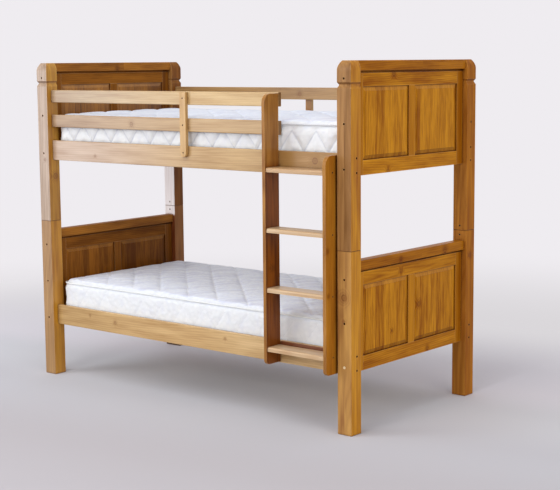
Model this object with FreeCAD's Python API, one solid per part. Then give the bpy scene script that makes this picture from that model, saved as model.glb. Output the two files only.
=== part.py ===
import FreeCAD, Part
import math
import os
from FreeCAD import Vector

# Bunk bed of solid pine: two storeys with panelled end frames, guard rails and a fixed ladder.
# Millimetres. X runs along the bed, -Y is the ladder side, +Z is up, z = 0 is the floor.
# Left is -X, right is +X, front is -Y, back is +Y. The bed is drawn centred on x = 0, y = 0 and
# moved back at the end, so that the origin lies under the middle of bed and ladder together.

# Mattresses
mattress_length = 1900.0
mattress_width = 900.0
mattress_thickness = 168.0
mattress_crown = 9.0
mattress_corner_radius = 45.0
mattress_end_gap = 3.0
mattress_side_gap = 1.0
mattress_rest_gap = 0.3
tape_height = 9.0
tape_inset = 5.0
side_draw_in = 4.5
crown_edge_run = 45.0
crown_slope_run = 160.0
crown_edge_share = 0.45
quilt_pitch = 137.5
quilt_starts = {45: -30.0, -45: -46.0}
quilt_channel_width = 7.0
quilt_channel_depth = 3.0
side_quilt_period = 140.0
side_quilt_rise = 94.0
side_quilt_start = 19.0
side_quilt_depth = 2.5

# Posts
storey_height = 827.0
post_length_x = 77.0
post_width_y = 73.0
post_edge_radius = 2.5
post_end_ease = 1.2
top_round_drop = 47.0
top_round_inset = 17.5
collar_groove_top_drop = 92.0
collar_groove_deep_drop = 105.0
collar_groove_bottom_drop = 121.0
collar_groove_depth = 8.0

# Side rails
rail_height = 103.0
rail_thickness = 22.0
rail_setback = 30.0
rail_edge_radius = 3.0
lower_rail_bottom = 272.0
upper_rail_above_split = 322.0
ladder_running_gap = 0.5

# End frames
frame_above_rail = 3.0
frame_thickness = 21.0
frame_recess = 28.0
cap_rail_height = 45.0
cap_rail_thickness = 49.0
cap_edge_radius = 4.0
shadow_gap_height = 9.5
top_rail_height = 59.5
bottom_rail_height = 66.0
stile_width = 51.5
muntin_width = 49.0
panel_groove_width = 8.0
panel_groove_depth = 12.0
tenon_end_gap = 0.5
joint_fit = 0.1
cap_tongue_depth = 10.0
panel_tongue_thickness = 7.6
panel_tongue_entry = 9.0
panel_bevel_width = 20.0
panel_bevel_rise = 3.2
panel_field_step = 1.5

# Slats
slat_below_rail_top = 40.0
slat_thickness = 15.0
slat_width = 70.0
slat_end_gap = 2.0
slat_count = 14
ledge_thickness = 22.0
ledge_height = 30.0
ledge_end_gap = 53.0
bearer_width = 90.0
bearer_middle_x = -120.0
bearer_drop = 13.0

# Guard rails and battens
guard_height = 64.0
guard_thickness = 20.0
guard_edge_radius = 4.0
top_guard_below_top = 140.0
guard_rail_spacing = 128.0
batten_width = 40.0
batten_thickness = 18.0
batten_middle_x = 14.0
batten_below_post_top = 143.0
batten_edge_radius = 3.0
batten_rail_cover = 52.0

# Ladder
stile_thickness = 18.0
stile_depth = 97.0
ladder_clear_width = 326.0
ladder_post_gap = 11.0
ladder_foot_height = 277.0
ladder_right_foot_height = 272.0
ladder_left_below_top = 144.0
ladder_right_below_rail_top = 7.0
stile_top_radius = 42.0
stile_foot_radius = 22.0
stile_edge_radius = 1.5
tread_thickness = 20.0
tread_depth = 85.0
tread_nose_setback = 5.0
tread_nose_radius = 8.0
tread_housing_depth = 4.0
tread_count = 4
lowest_tread_middle = 349.0
tread_spacing = 273.7

# Fasteners
thread_fit = 0.05
rail_bolt_diameter = 6.0
rail_bolt_length = 100.0
rail_bolt_head_diameter = 9.5
rail_bolt_head_height = 5.0
rail_bolt_spacing = 64.0
rail_bolt_sink = 12.0
bolt_tip_room = 3.0
head_room = 0.5
hex_key_size = 4.0
hex_key_depth = 3.0
barrel_nut_diameter = 10.0
barrel_nut_length = 16.0
barrel_nut_inset = 30.0
nut_slot_width = 1.4
nut_slot_depth = 1.5
frame_screw_diameter = 6.0
frame_screw_length = 90.0
frame_screw_sink = 20.0
frame_screw_heights = (32.0, 229.0, 425.0)
wood_screw_diameter = 4.0
wood_screw_length = 35.0
wood_screw_head_diameter = 8.0
wood_screw_head_height = 3.0
wood_screw_sink = 2.0
cross_recess_length = 4.4
cross_recess_width = 1.0
cross_recess_depth = 2.0
post_pin_diameter = 10.0
post_pin_length = 80.0
post_pin_clearance = 0.25
lock_screw_diameter = 5.0
lock_screw_head_diameter = 8.0
lock_screw_head_height = 3.0
lock_screw_sink = 4.0
lock_screw_from_split = 22.0
lock_screw_back_off = 0.3
dowel_diameter = 8.0
dowel_length = 30.0
dowel_spacing = 32.0
cover_cap_rim_diameter = 13.0
cover_cap_rim_height = 1.2
cover_cap_plug_height = 5.0
bearer_screw_sink = 12.0
bearer_screw_spacing = 50.0
ladder_screw_from_stile_front = 50.0
left_stile_screw_rises = (8.0, 38.0)
right_stile_screw_rises = (-12.0, 12.0)
ledge_screw_steps = (-6, -3, 0, 3, 6)
overrun = 1.0
parallel_limit_share = 0.01

# Sizes worked out from those above
post_gap_x = mattress_length + 2 * mattress_end_gap
rail_gap_y = mattress_width + 2 * mattress_side_gap
post_inner_x = post_gap_x / 2
post_outer_x = post_inner_x + post_length_x
post_middle_x = post_inner_x + post_length_x / 2
rail_inner_y = rail_gap_y / 2
rail_outer_y = rail_inner_y + rail_thickness
post_outer_y = rail_outer_y + rail_setback
post_inner_y = post_outer_y - post_width_y
post_middle_y = post_outer_y - post_width_y / 2
total_height = 2 * storey_height
ladder_front_y = -rail_outer_y - stile_depth
ladder_reach = -ladder_front_y - post_outer_y
upper_rail_bottom = storey_height + upper_rail_above_split
lower_frame_bottom = lower_rail_bottom + frame_above_rail
upper_frame_bottom = upper_rail_bottom + frame_above_rail
frame_height = total_height - upper_frame_bottom
frame_outer_x = post_outer_x - frame_recess
frame_inner_x = frame_outer_x - frame_thickness
frame_middle_x = frame_outer_x - frame_thickness / 2
guard_inner_y = rail_outer_y - guard_thickness
guard_middle_y = rail_outer_y - guard_thickness / 2
top_guard_middle = total_height - top_guard_below_top - guard_height / 2
guard_middles = {"top": top_guard_middle, "lower": top_guard_middle - guard_rail_spacing}
right_stile_outer_x = post_inner_x - ladder_post_gap
right_stile_inner_x = right_stile_outer_x - stile_thickness
left_stile_inner_x = right_stile_inner_x - ladder_clear_width
left_stile_outer_x = left_stile_inner_x - stile_thickness
rail_bottoms = {"lower": lower_rail_bottom, "upper": upper_rail_bottom}
frame_bottoms = {"lower": lower_frame_bottom, "upper": upper_frame_bottom}
rail_shifts = {"lower": ladder_running_gap, "upper": 0.0}
side_signs = {"left": -1, "right": 1}
face_signs = {"front": -1, "back": 1}

pieces = {}
holes = {}


def add(node, solid):
    """Put one solid into its node."""
    pieces.setdefault(node, []).append(solid)


def drill(nodes, cutter):
    """Remember a cutter for each of the named nodes."""
    for node in nodes:
        holes.setdefault(node, []).append(cutter)


def block(x_range, y_range, z_range):
    """Box between two places on each axis, given in either order."""
    x_low, y_low, z_low = min(x_range), min(y_range), min(z_range)
    x_size, y_size, z_size = max(x_range) - x_low, max(y_range) - y_low, max(z_range) - z_low
    return Part.makeBox(x_size, y_size, z_size, Vector(x_low, y_low, z_low))


def prism(points, run):
    """Solid from a closed outline of points, drawn out along a vector."""
    return Part.Face(Part.makePolygon(points + points[:1])).extrude(run)


def rod(diameter, length, start=0.0):
    """Upright cylinder on the Z axis."""
    return Part.makeCylinder(diameter / 2, length, Vector(0, 0, start))


def aim(shape, point, direction):
    """Copy of an upright shape, turned so that +Z follows the direction, at the point."""
    placed = shape.copy()
    placed.Placement = FreeCAD.Placement(point, FreeCAD.Rotation(Vector(0, 0, 1), direction))
    return placed


def edges_along(shape, axis):
    """Straight edges of a shape that run along one axis."""
    found = []
    for edge in shape.Edges:
        if isinstance(edge.Curve, Part.Line):
            turned_away = edge.tangentAt(edge.FirstParameter).cross(axis).Length
            if turned_away < parallel_limit_share:
                found.append(edge)
    return found


def eased_bar(x_range, y_range, z_range, radius, axis):
    """Box whose long edges are rounded."""
    bar = block(x_range, y_range, z_range)
    return bar.makeFillet(radius, edges_along(bar, axis))


def mirrored(shape, side_sign, face_sign):
    """A shape drawn for the right back corner, moved to another corner."""
    result = shape.copy()
    if side_sign < 0:
        result = result.mirror(Vector(0, 0, 0), Vector(1, 0, 0))
    if face_sign < 0:
        result = result.mirror(Vector(0, 0, 0), Vector(0, 1, 0))
    return result


def corner_posts(storey):
    """Names, side signs and face signs of the four posts of a storey."""
    found = []
    for side, side_sign in side_signs.items():
        for face, face_sign in face_signs.items():
            found.append((f"{storey}_{side}_{face}_post", side_sign, face_sign))
    return found


# Posts

def round_top_outline(outer, inner, both_sides):
    """Points of the upper post's outline across one axis, as its outer and its inner side.

    Each worked side has a collar groove and a rounded shoulder that is tangent to the post."""
    top = total_height
    reach = (top_round_inset ** 2 + top_round_drop ** 2) / (2 * top_round_inset)
    half_turn = math.asin(top_round_drop / reach) / 2
    bend_inset = reach * (1 - math.cos(half_turn))
    bend_rise = reach * math.sin(half_turn)

    def worked_side(face, inward):
        return [
            (face, top - collar_groove_bottom_drop),
            (face + inward * collar_groove_depth, top - collar_groove_deep_drop),
            (face, top - collar_groove_top_drop),
            (face, top - top_round_drop),
            (face + inward * bend_inset, top - top_round_drop + bend_rise),
            (face + inward * top_round_inset, top),
        ]

    inward = -1 if outer > inner else 1
    right = [(outer, storey_height)] + worked_side(outer, inward)
    left = [(inner, storey_height)]
    if both_sides:
        left += worked_side(inner, -inward)
    else:
        left += [(inner, top)]
    return right, left


def outline_face(outer, inner, both_sides, as_vector):
    """Face of the upper post outline, with arcs on the rounded shoulders."""
    right, left = round_top_outline(outer, inner, both_sides)

    def side_edges(points):
        points = [as_vector(u, z) for u, z in points]
        if len(points) < 3:
            return [Part.makeLine(points[0], points[1])]
        edges = [Part.makeLine(a, b) for a, b in zip(points[:-3], points[1:-2])]
        return edges + [Part.Arc(points[-3], points[-2], points[-1]).toShape()]

    bottom = Part.makeLine(as_vector(*left[0]), as_vector(*right[0]))
    top = Part.makeLine(as_vector(*right[-1]), as_vector(*left[-1]))
    edges = side_edges(right) + side_edges(left) + [bottom, top]
    return Part.Face(Part.Wire(Part.__sortEdges__(edges)))


def post_column(z_low, z_high):
    """Right back post column with eased arrises and ends."""
    column = block((post_inner_x, post_outer_x), (post_inner_y, post_outer_y), (z_low, z_high))
    column = column.makeFillet(post_edge_radius, edges_along(column, Vector(0, 0, 1)))
    ends = [edge for edge in column.Edges if edge.BoundBox.ZLength < post_end_ease]
    return column.makeChamfer(post_end_ease, ends)


def upper_post():
    """Right back upper post: the column cut to the rounded outline across both axes."""
    column = post_column(storey_height, total_height + post_end_ease)
    across_x = outline_face(post_outer_x, post_inner_x, True, lambda u, z: Vector(u, post_inner_y, z))
    across_y = outline_face(post_outer_y, post_inner_y, False, lambda u, z: Vector(post_inner_x, u, z))
    column = column.common(across_x.extrude(Vector(0, post_width_y, 0)))
    return column.common(across_y.extrude(Vector(post_length_x, 0, 0)))


def make_posts():
    """The eight post halves."""
    for storey, post in (("lower", post_column(0.0, storey_height)), ("upper", upper_post())):
        for node, side_sign, face_sign in corner_posts(storey):
            add(node, mirrored(post, side_sign, face_sign))


# Panelled end frames

def frame_board(y_range, z_range):
    """Board of the right end frame at full thickness."""
    return block((frame_inner_x, frame_outer_x), y_range, z_range)


def frame_core(y_range, z_range, thickness):
    """Thin slab in the middle of the right end frame's thickness."""
    return block((frame_middle_x - thickness / 2, frame_middle_x + thickness / 2), y_range, z_range)


def raised_panel(y_range, z_range):
    """Panel for one opening: thin edge, wide bevel and raised field on both faces."""
    y_low, y_high = y_range
    z_low, z_high = z_range
    entry, bevel = panel_tongue_entry, panel_bevel_width
    panel = frame_core((y_low - entry, y_high + entry), (z_low - entry, z_high + entry),
                       panel_tongue_thickness)
    half = panel_tongue_thickness / 2
    rise = half + panel_bevel_rise
    for way in (-1, 1):
        slope = Part.makeWedge(y_low, half, z_low, z_low + bevel, y_low + bevel,
                               y_high, rise, z_high, z_high - bevel, y_high - bevel)
        slope.rotate(Vector(0, 0, 0), Vector(0, 0, 1), -90)
        slope = slope.mirror(Vector(0, 0, 0), Vector(0, 1, 0))
        if way < 0:
            slope = slope.mirror(Vector(0, 0, 0), Vector(1, 0, 0))
        slope.translate(Vector(frame_middle_x, 0, 0))
        field_reach = frame_middle_x + way * (rise + panel_field_step)
        field = block((frame_middle_x, field_reach), (y_low + bevel, y_high - bevel),
                      (z_low + bevel, z_high - bevel))
        panel = panel.fuse([slope, field])
    return panel.removeSplitter()


def end_frame(bottom):
    """The members of a right end frame that stands on the given height."""
    groove, width = panel_groove_depth, panel_groove_width
    core = panel_groove_width - 2 * joint_fit
    tenon = panel_groove_depth - tenon_end_gap
    shoulder_y = post_inner_y - stile_width
    mullion_y = muntin_width / 2
    top = bottom + frame_height
    cap_bottom = top - cap_rail_height
    board_top = cap_bottom - shadow_gap_height
    opening_top = board_top - top_rail_height
    opening_bottom = bottom + bottom_rail_height
    neck_top = cap_bottom + cap_tongue_depth
    slot_top = neck_top + tenon_end_gap
    cap_reach = cap_rail_thickness / 2

    cap = eased_bar((frame_middle_x - cap_reach, frame_middle_x + cap_reach),
                    (-post_inner_y, post_inner_y), (cap_bottom, top), cap_edge_radius, Vector(0, 1, 0))
    cap = cap.cut(frame_core((-post_inner_y, post_inner_y), (cap_bottom, slot_top), width))

    stiles = []
    for way in (-1, 1):
        inner, outer = way * shoulder_y, way * post_inner_y
        stile = frame_board((inner, outer), (bottom, board_top))
        stile = stile.fuse(frame_core((inner, outer), (board_top, neck_top), core))
        stiles.append(stile.cut(frame_core((inner, inner + way * groove), (bottom, slot_top), width)))

    tenon_span = (-shoulder_y - tenon, shoulder_y + tenon)
    top_rail = frame_board((-shoulder_y, shoulder_y), (opening_top, board_top))
    top_rail = top_rail.fuse(frame_core(tenon_span, (opening_top, neck_top), core))
    top_rail = top_rail.cut(frame_core(tenon_span, (opening_top, opening_top + groove), width))
    low_rail = frame_board((-shoulder_y, shoulder_y), (bottom, opening_bottom))
    low_rail = low_rail.fuse(frame_core(tenon_span, (bottom, opening_bottom), core))
    low_rail = low_rail.cut(frame_core(tenon_span, (opening_bottom - groove, opening_bottom), width))

    muntin = frame_board((-mullion_y, mullion_y), (opening_bottom, opening_top))
    tenoned_span = (opening_bottom - tenon, opening_top + tenon)
    muntin = muntin.fuse(frame_core((-mullion_y, mullion_y), tenoned_span, core))
    muntin_span = (opening_bottom - groove, opening_top + groove)
    for way in (-1, 1):
        muntin = muntin.cut(frame_core((way * mullion_y, way * (mullion_y - groove)), muntin_span, width))

    panels = []
    for y_range in ((-shoulder_y, -mullion_y), (mullion_y, shoulder_y)):
        panels.append(raised_panel(y_range, (opening_bottom, opening_top)))
    return {"cap_rail": [cap], "stiles": stiles, "cross_rails": [low_rail, top_rail],
            "muntin": [muntin], "panels": panels}


def make_end_frames():
    """The four panelled end frames, one for each end of each storey."""
    for storey, bottom in frame_bottoms.items():
        members = end_frame(bottom)
        for side, side_sign in side_signs.items():
            for name, solids in members.items():
                for solid in solids:
                    add(f"{storey}_{side}_{name}", mirrored(solid, side_sign, 1))


# Side rails, ledges and slats

def make_side_rails():
    """Rails between the posts. The lower pair stands a little further in, clear of the ladder."""
    for storey, bottom in rail_bottoms.items():
        shift = rail_shifts[storey]
        for face, face_sign in face_signs.items():
            y_range = (face_sign * (rail_inner_y - shift), face_sign * (rail_outer_y - shift))
            rail = eased_bar((-post_inner_x, post_inner_x), y_range, (bottom, bottom + rail_height),
                             rail_edge_radius, Vector(1, 0, 0))
            add(f"{storey}_{face}_side_rail", rail)


def slat_middles():
    """Places of the slats along the bed."""
    reach = post_inner_x - ledge_end_gap - slat_width / 2
    pitch = 2 * reach / (slat_count - 1)
    return [-reach + pitch * number for number in range(slat_count)]


def make_slats():
    """Ledges along the rails, the slats on them and the cross bearer under the lower slats."""
    ledge_reach = post_inner_x - ledge_end_gap
    slat_pitch = slat_middles()[1] - slat_middles()[0]
    for storey, rail_bottom in rail_bottoms.items():
        inner_y = rail_inner_y - rail_shifts[storey]
        slat_top = rail_bottom + rail_height - slat_below_rail_top
        slat_bottom = slat_top - slat_thickness
        ledge_bottom = slat_bottom - ledge_height
        ledge_inner_y = inner_y - ledge_thickness
        slat_end_y = inner_y - slat_end_gap
        ledge_screw_y = inner_y - ledge_thickness / 2
        for face, sign in face_signs.items():
            add(f"{storey}_slat_ledges", block((-ledge_reach, ledge_reach),
                (sign * ledge_inner_y, sign * inner_y), (ledge_bottom, slat_bottom)))
            for step in ledge_screw_steps:
                point = Vector(step * slat_pitch, sign * ledge_inner_y, slat_bottom - ledge_height / 2)
                wood_screw(storey, point, Vector(0, sign, 0), wood_screw_sink,
                           [f"{storey}_slat_ledges", f"{storey}_{face}_side_rail"])
        for middle in slat_middles():
            add(f"{storey}_slats", block((middle - slat_width / 2, middle + slat_width / 2),
                (-slat_end_y, slat_end_y), (slat_bottom, slat_top)))
            for sign in face_signs.values():
                wood_screw(storey, Vector(middle, sign * ledge_screw_y, slat_top), Vector(0, 0, -1),
                           wood_screw_sink, [f"{storey}_slats", f"{storey}_slat_ledges"])
        if storey == "lower":
            make_cross_bearer(rail_bottom - bearer_drop, ledge_bottom, slat_bottom, ledge_inner_y,
                              slat_end_y, ledge_screw_y)


def make_cross_bearer(bottom, ledge_bottom, slat_bottom, ledge_inner_y, end_y, screw_y):
    """Board across the bed, notched round the ledges and touching the slats above it."""
    x_range = (bearer_middle_x - bearer_width / 2, bearer_middle_x + bearer_width / 2)
    bearer = block(x_range, (-end_y, end_y), (bottom, slat_bottom))
    for sign in face_signs.values():
        notch = block(x_range, (sign * ledge_inner_y, sign * end_y), (ledge_bottom, slat_bottom))
        bearer = bearer.cut(notch)
        for way in (-1, 1):
            point = Vector(bearer_middle_x + way * bearer_screw_spacing / 2, sign * screw_y, bottom)
            wood_screw("lower", point, Vector(0, 0, 1), bearer_screw_sink,
                       ["lower_cross_bearer", "lower_slat_ledges"])
    add("lower_cross_bearer", bearer)


# Guard rails and battens

def make_guards():
    """Two guard rails in front, up to the ladder, and two along the back."""
    right_ends = {"front": left_stile_inner_x, "back": post_inner_x}
    for height, middle in guard_middles.items():
        z_range = (middle - guard_height / 2, middle + guard_height / 2)
        for face, sign in face_signs.items():
            rail = eased_bar((-post_inner_x, right_ends[face]), (sign * guard_inner_y, sign * rail_outer_y),
                             z_range, guard_edge_radius, Vector(1, 0, 0))
            add(f"{face}_{height}_guard_rail", rail)
        stile_x = (left_stile_inner_x + left_stile_outer_x) / 2
        wood_screw("upper", Vector(stile_x, -guard_inner_y, middle), Vector(0, -1, 0), wood_screw_sink,
                   [f"front_{height}_guard_rail", "ladder_left_stile"])


def make_battens():
    """Upright battens with a round foot that tie guard rails and side rail together."""
    top = total_height - batten_below_post_top
    half = batten_width / 2
    foot_middle = upper_rail_bottom + rail_height - batten_rail_cover + half
    rail_middle = foot_middle + wood_screw_head_diameter / 2 - wood_screw_diameter / 2
    heights = list(guard_middles.values()) + [rail_middle]
    for face, sign in face_signs.items():
        inner, outer = sign * rail_outer_y, sign * (rail_outer_y + batten_thickness)
        batten = block((batten_middle_x - half, batten_middle_x + half), (inner, outer), (foot_middle, top))
        foot_start = Vector(batten_middle_x, min(inner, outer), foot_middle)
        foot = Part.makeCylinder(half, batten_thickness, foot_start, Vector(0, 1, 0))
        batten = batten.fuse(foot).removeSplitter()
        front_edges = [edge for edge in batten.Edges if abs(edge.CenterOfMass.y - outer) < overrun]
        add("guard_battens", batten.makeFillet(batten_edge_radius, front_edges))
        behind = [f"{face}_top_guard_rail", f"{face}_lower_guard_rail", f"upper_{face}_side_rail"]
        for height, node in zip(heights, behind):
            wood_screw("upper", Vector(batten_middle_x, outer, height), Vector(0, -sign, 0),
                       wood_screw_sink, ["guard_battens", node])


# Ladder

def ladder_stile(x_low, foot, top):
    """Flat upright board whose two front corners are rounded off."""
    front, back = ladder_front_y, ladder_front_y + stile_depth
    low, high = stile_foot_radius, stile_top_radius
    slant = 1 - math.sqrt(0.5)

    def at(y, z):
        return Vector(x_low, y, z)

    edges = [
        Part.makeLine(at(back, foot), at(back, top)),
        Part.makeLine(at(back, top), at(front + high, top)),
        Part.Arc(at(front + high, top), at(front + slant * high, top - slant * high),
                 at(front, top - high)).toShape(),
        Part.makeLine(at(front, top - high), at(front, foot + low)),
        Part.Arc(at(front, foot + low), at(front + slant * low, foot + slant * low),
                 at(front + low, foot)).toShape(),
        Part.makeLine(at(front + low, foot), at(back, foot)),
    ]
    board = Part.Face(Part.Wire(edges)).extrude(Vector(stile_thickness, 0, 0))
    rims = [edge for edge in board.Edges if edge.BoundBox.XLength < overrun
            and edge.BoundBox.YMin < back - overrun]
    return board.makeFillet(stile_edge_radius, rims)


def tread(middle, grow):
    """One tread with its front top edge rounded; grow widens it into the cutter for its housing."""
    y_low = ladder_front_y + tread_nose_setback - grow
    entry = tread_housing_depth + grow
    x_range = (left_stile_inner_x - entry, right_stile_inner_x + entry)
    half = tread_thickness / 2 + grow
    board = block(x_range, (y_low, y_low + tread_depth + 2 * grow), (middle - half, middle + half))
    nose = [edge for edge in edges_along(board, Vector(1, 0, 0))
            if edge.CenterOfMass.y < y_low + overrun and edge.CenterOfMass.z > middle]
    return board.makeFillet(tread_nose_radius, nose)


def make_ladder():
    """Two stiles with four treads let into them."""
    rail_top = upper_rail_bottom + rail_height
    rail_middle = upper_rail_bottom + rail_height / 2
    left_top = total_height - ladder_left_below_top
    right_top = rail_top - ladder_right_below_rail_top
    add("ladder_left_stile", ladder_stile(left_stile_outer_x, ladder_foot_height, left_top))
    add("ladder_right_stile", ladder_stile(right_stile_inner_x, ladder_right_foot_height, right_top))
    screw_y = ladder_front_y + ladder_screw_from_stile_front
    for number in range(tread_count):
        middle = lowest_tread_middle + number * tread_spacing
        add("ladder_treads", tread(middle, 0.0))
        drill(["ladder_left_stile", "ladder_right_stile"], tread(middle, joint_fit))
        wood_screw("upper", Vector(left_stile_outer_x, screw_y, middle), Vector(1, 0, 0),
                   wood_screw_sink, ["ladder_left_stile", "ladder_treads"])
        wood_screw("upper", Vector(right_stile_outer_x, screw_y, middle), Vector(-1, 0, 0),
                   wood_screw_sink, ["ladder_right_stile", "ladder_treads"])
    half = stile_thickness / 2
    fixings = (
        ("ladder_left_stile", left_stile_inner_x - half, left_stile_screw_rises),
        ("ladder_right_stile", right_stile_inner_x + half, right_stile_screw_rises),
    )
    for node, middle_x, rises in fixings:
        for rise in rises:
            wood_screw("upper", Vector(middle_x, -rail_inner_y, rail_middle + rise), Vector(0, -1, 0),
                       wood_screw_sink, ["upper_front_side_rail", node])


# Mattresses

def rounded_outline(inset, z):
    """Rounded rectangle of the mattress plan, drawn in by an inset at one height."""
    reach_x, reach_y = mattress_length / 2 - inset, mattress_width / 2 - inset
    radius = mattress_corner_radius
    near_x, near_y = reach_x - radius, reach_y - radius
    slant = radius * math.sqrt(0.5)
    corners = ((1, 1), (-1, 1), (-1, -1), (1, -1))
    edges = []
    for number, (sx, sy) in enumerate(corners):
        start = Vector(sx * reach_x, sy * near_y, z)
        end = Vector(sx * near_x, sy * reach_y, z)
        if sx != sy:
            start, end = end, start
        middle = Vector(sx * (near_x + slant), sy * (near_y + slant), z)
        edges.append(Part.Arc(start, middle, end).toShape())
        next_sx, next_sy = corners[(number + 1) % len(corners)]
        if next_sx != next_sy:
            next_start = Vector(next_sx * near_x, next_sy * reach_y, z)
        else:
            next_start = Vector(next_sx * reach_x, next_sy * near_y, z)
        edges.append(Part.makeLine(end, next_start))
    return Part.Wire(edges)


def mattress_body(bottom):
    """Mattress without its quilting: taped edges, drawn-in sides and a crowned top."""
    top = bottom + mattress_thickness
    half_tape = tape_height / 2
    wide, narrow = mattress_rest_gap, mattress_rest_gap + side_draw_in
    low_tape, high_tape = bottom + half_tape, top - half_tape
    sections = [
        (wide + tape_inset, bottom),
        (wide, low_tape),
        (narrow, low_tape + tape_height),
        (narrow - side_draw_in / 2, (bottom + top) / 2),
        (narrow, high_tape - tape_height),
        (wide, high_tape),
        (wide + tape_inset, top),
        (wide + crown_edge_run, top + crown_edge_share * mattress_crown),
        (wide + crown_slope_run, top + mattress_crown),
    ]
    return Part.makeLoft([rounded_outline(inset, z) for inset, z in sections], True, True)


def top_channels(top):
    """Upright walls along the two diagonal directions of the top quilting."""
    reach = (mattress_length + mattress_width) / 2
    count = int(reach * math.sqrt(0.5) / quilt_pitch)
    wall_bottom = top - quilt_channel_depth
    wall_top = top + mattress_crown + quilt_channel_depth
    half = quilt_channel_width / 2
    walls = []
    for turn, start in quilt_starts.items():
        for number in range(-count, count + 1):
            offset = start + number * quilt_pitch
            wall = block((-reach, reach), (offset - half, offset + half), (wall_bottom, wall_top))
            wall.rotate(Vector(0, 0, 0), Vector(0, 0, 1), turn)
            walls.append(wall)
    return walls[0].fuse(walls[1:])


def zigzag_band(length, base, depth):
    """Zigzag groove cutter along X, for one side of the mattress, outward to -Y from y = 0."""
    count = int(length / side_quilt_period)
    half_step = side_quilt_period / 2
    start = side_quilt_start - count * half_step
    low, high = [], []
    for number in range(2 * count + 1):
        x = start + number * half_step
        z = base if number % 2 == 0 else base + side_quilt_rise
        low.append(Vector(x, 0, z - quilt_channel_width / 2))
        high.append(Vector(x, 0, z + quilt_channel_width / 2))
    return prism(low + high[::-1], Vector(0, depth, 0))


def mattress(bottom):
    """Quilted mattress: diagonal channels on top and a zigzag channel round the sides."""
    body = mattress_body(bottom)
    top = bottom + mattress_thickness
    sunk = body.copy()
    sunk.translate(Vector(0, 0, -quilt_channel_depth))
    quilted = body.cut(top_channels(top).cut(sunk))
    base = bottom + (mattress_thickness - side_quilt_rise) / 2
    depth = side_draw_in + side_quilt_depth + mattress_rest_gap
    long_side = (mattress_length, mattress_width, 0)
    short_side = (mattress_width, mattress_length, 90)
    for length, across, turn in (long_side, short_side):
        straight = length - 2 * mattress_corner_radius
        band = zigzag_band(straight, base, depth)
        band.translate(Vector(0, -across / 2, 0))
        for half_turn in (0, 180):
            side = band.copy()
            side.rotate(Vector(0, 0, 0), Vector(0, 0, 1), turn + half_turn)
            quilted = quilted.cut(side)
    return quilted


def make_mattresses():
    """One mattress on the slats of each storey."""
    for storey, bottom in rail_bottoms.items():
        slat_top = bottom + rail_height - slat_below_rail_top
        add(f"{storey}_mattress", mattress(slat_top + mattress_rest_gap))


# Fasteners, each drawn upright with its driving direction along +Z and z = 0 on the wood's face

def hex_key_recess(start):
    """Six-sided socket for a hex key."""
    reach = hex_key_size / math.sqrt(3)
    points = []
    for number in range(6):
        angle = math.radians(60 * number)
        points.append(Vector(reach * math.cos(angle), reach * math.sin(angle), start))
    return prism(points, Vector(0, 0, hex_key_depth))


def headed_bolt(diameter, length, head_diameter, head_height, sink):
    """Bolt with a round socket head, sunk below the face; length is measured under the head."""
    bolt = rod(head_diameter, head_height, sink - head_height).fuse(rod(diameter, length, sink))
    return bolt.cut(hex_key_recess(sink - head_height)).removeSplitter()


def bolt_bore(diameter, length, head_diameter, sink):
    """Bore and counterbore for a bolt."""
    bore = rod(head_diameter + 2 * head_room, sink + overrun, -overrun)
    return bore.fuse(rod(diameter + 2 * thread_fit, length, sink)).removeSplitter()


def wood_screw(storey, point, direction, sink, nodes):
    """Countersunk screw in the storey's wood screw node, with its hole in the named nodes."""
    head, body = wood_screw_head_diameter, wood_screw_diameter
    head_end = sink + wood_screw_head_height
    cone = Part.makeCone(head / 2, body / 2, wood_screw_head_height, Vector(0, 0, sink))
    shank = rod(body, wood_screw_length - wood_screw_head_height, head_end)
    recess = block((-cross_recess_length / 2, cross_recess_length / 2),
                   (-cross_recess_width / 2, cross_recess_width / 2), (sink, sink + cross_recess_depth))
    crossed = recess.copy()
    crossed.rotate(Vector(0, 0, 0), Vector(0, 0, 1), 90)
    screw = cone.fuse(shank).cut([recess, crossed])
    add(f"{storey}_wood_screws", aim(screw, point, direction))
    room = 2 * thread_fit
    bore = rod(head + room, sink + overrun, -overrun)
    seat = Part.makeCone((head + room) / 2, (body + room) / 2, wood_screw_head_height, Vector(0, 0, sink))
    pilot = rod(body + room, wood_screw_length - wood_screw_head_height + thread_fit, head_end)
    drill(nodes, aim(bore.fuse([seat, pilot]), point, direction))


def barrel_nut_pair():
    """Barrel nut, upright with z = 0 in its middle, and the hole that it slides into."""
    half = barrel_nut_length / 2
    nut = rod(barrel_nut_diameter, barrel_nut_length, -half)
    bolt_hole = Part.makeCylinder(rail_bolt_diameter / 2 + thread_fit, barrel_nut_diameter + 2 * overrun,
                                  Vector(-barrel_nut_diameter / 2 - overrun, 0, 0), Vector(1, 0, 0))
    slot_reach = barrel_nut_diameter / 2 + overrun
    slot_half = nut_slot_width / 2
    slot = block((-slot_reach, slot_reach), (-slot_half, slot_half), (-half, nut_slot_depth - half))
    hole = rod(barrel_nut_diameter + 2 * thread_fit, rail_thickness + half, -rail_thickness)
    return nut.cut([bolt_hole, slot]), hole


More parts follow.
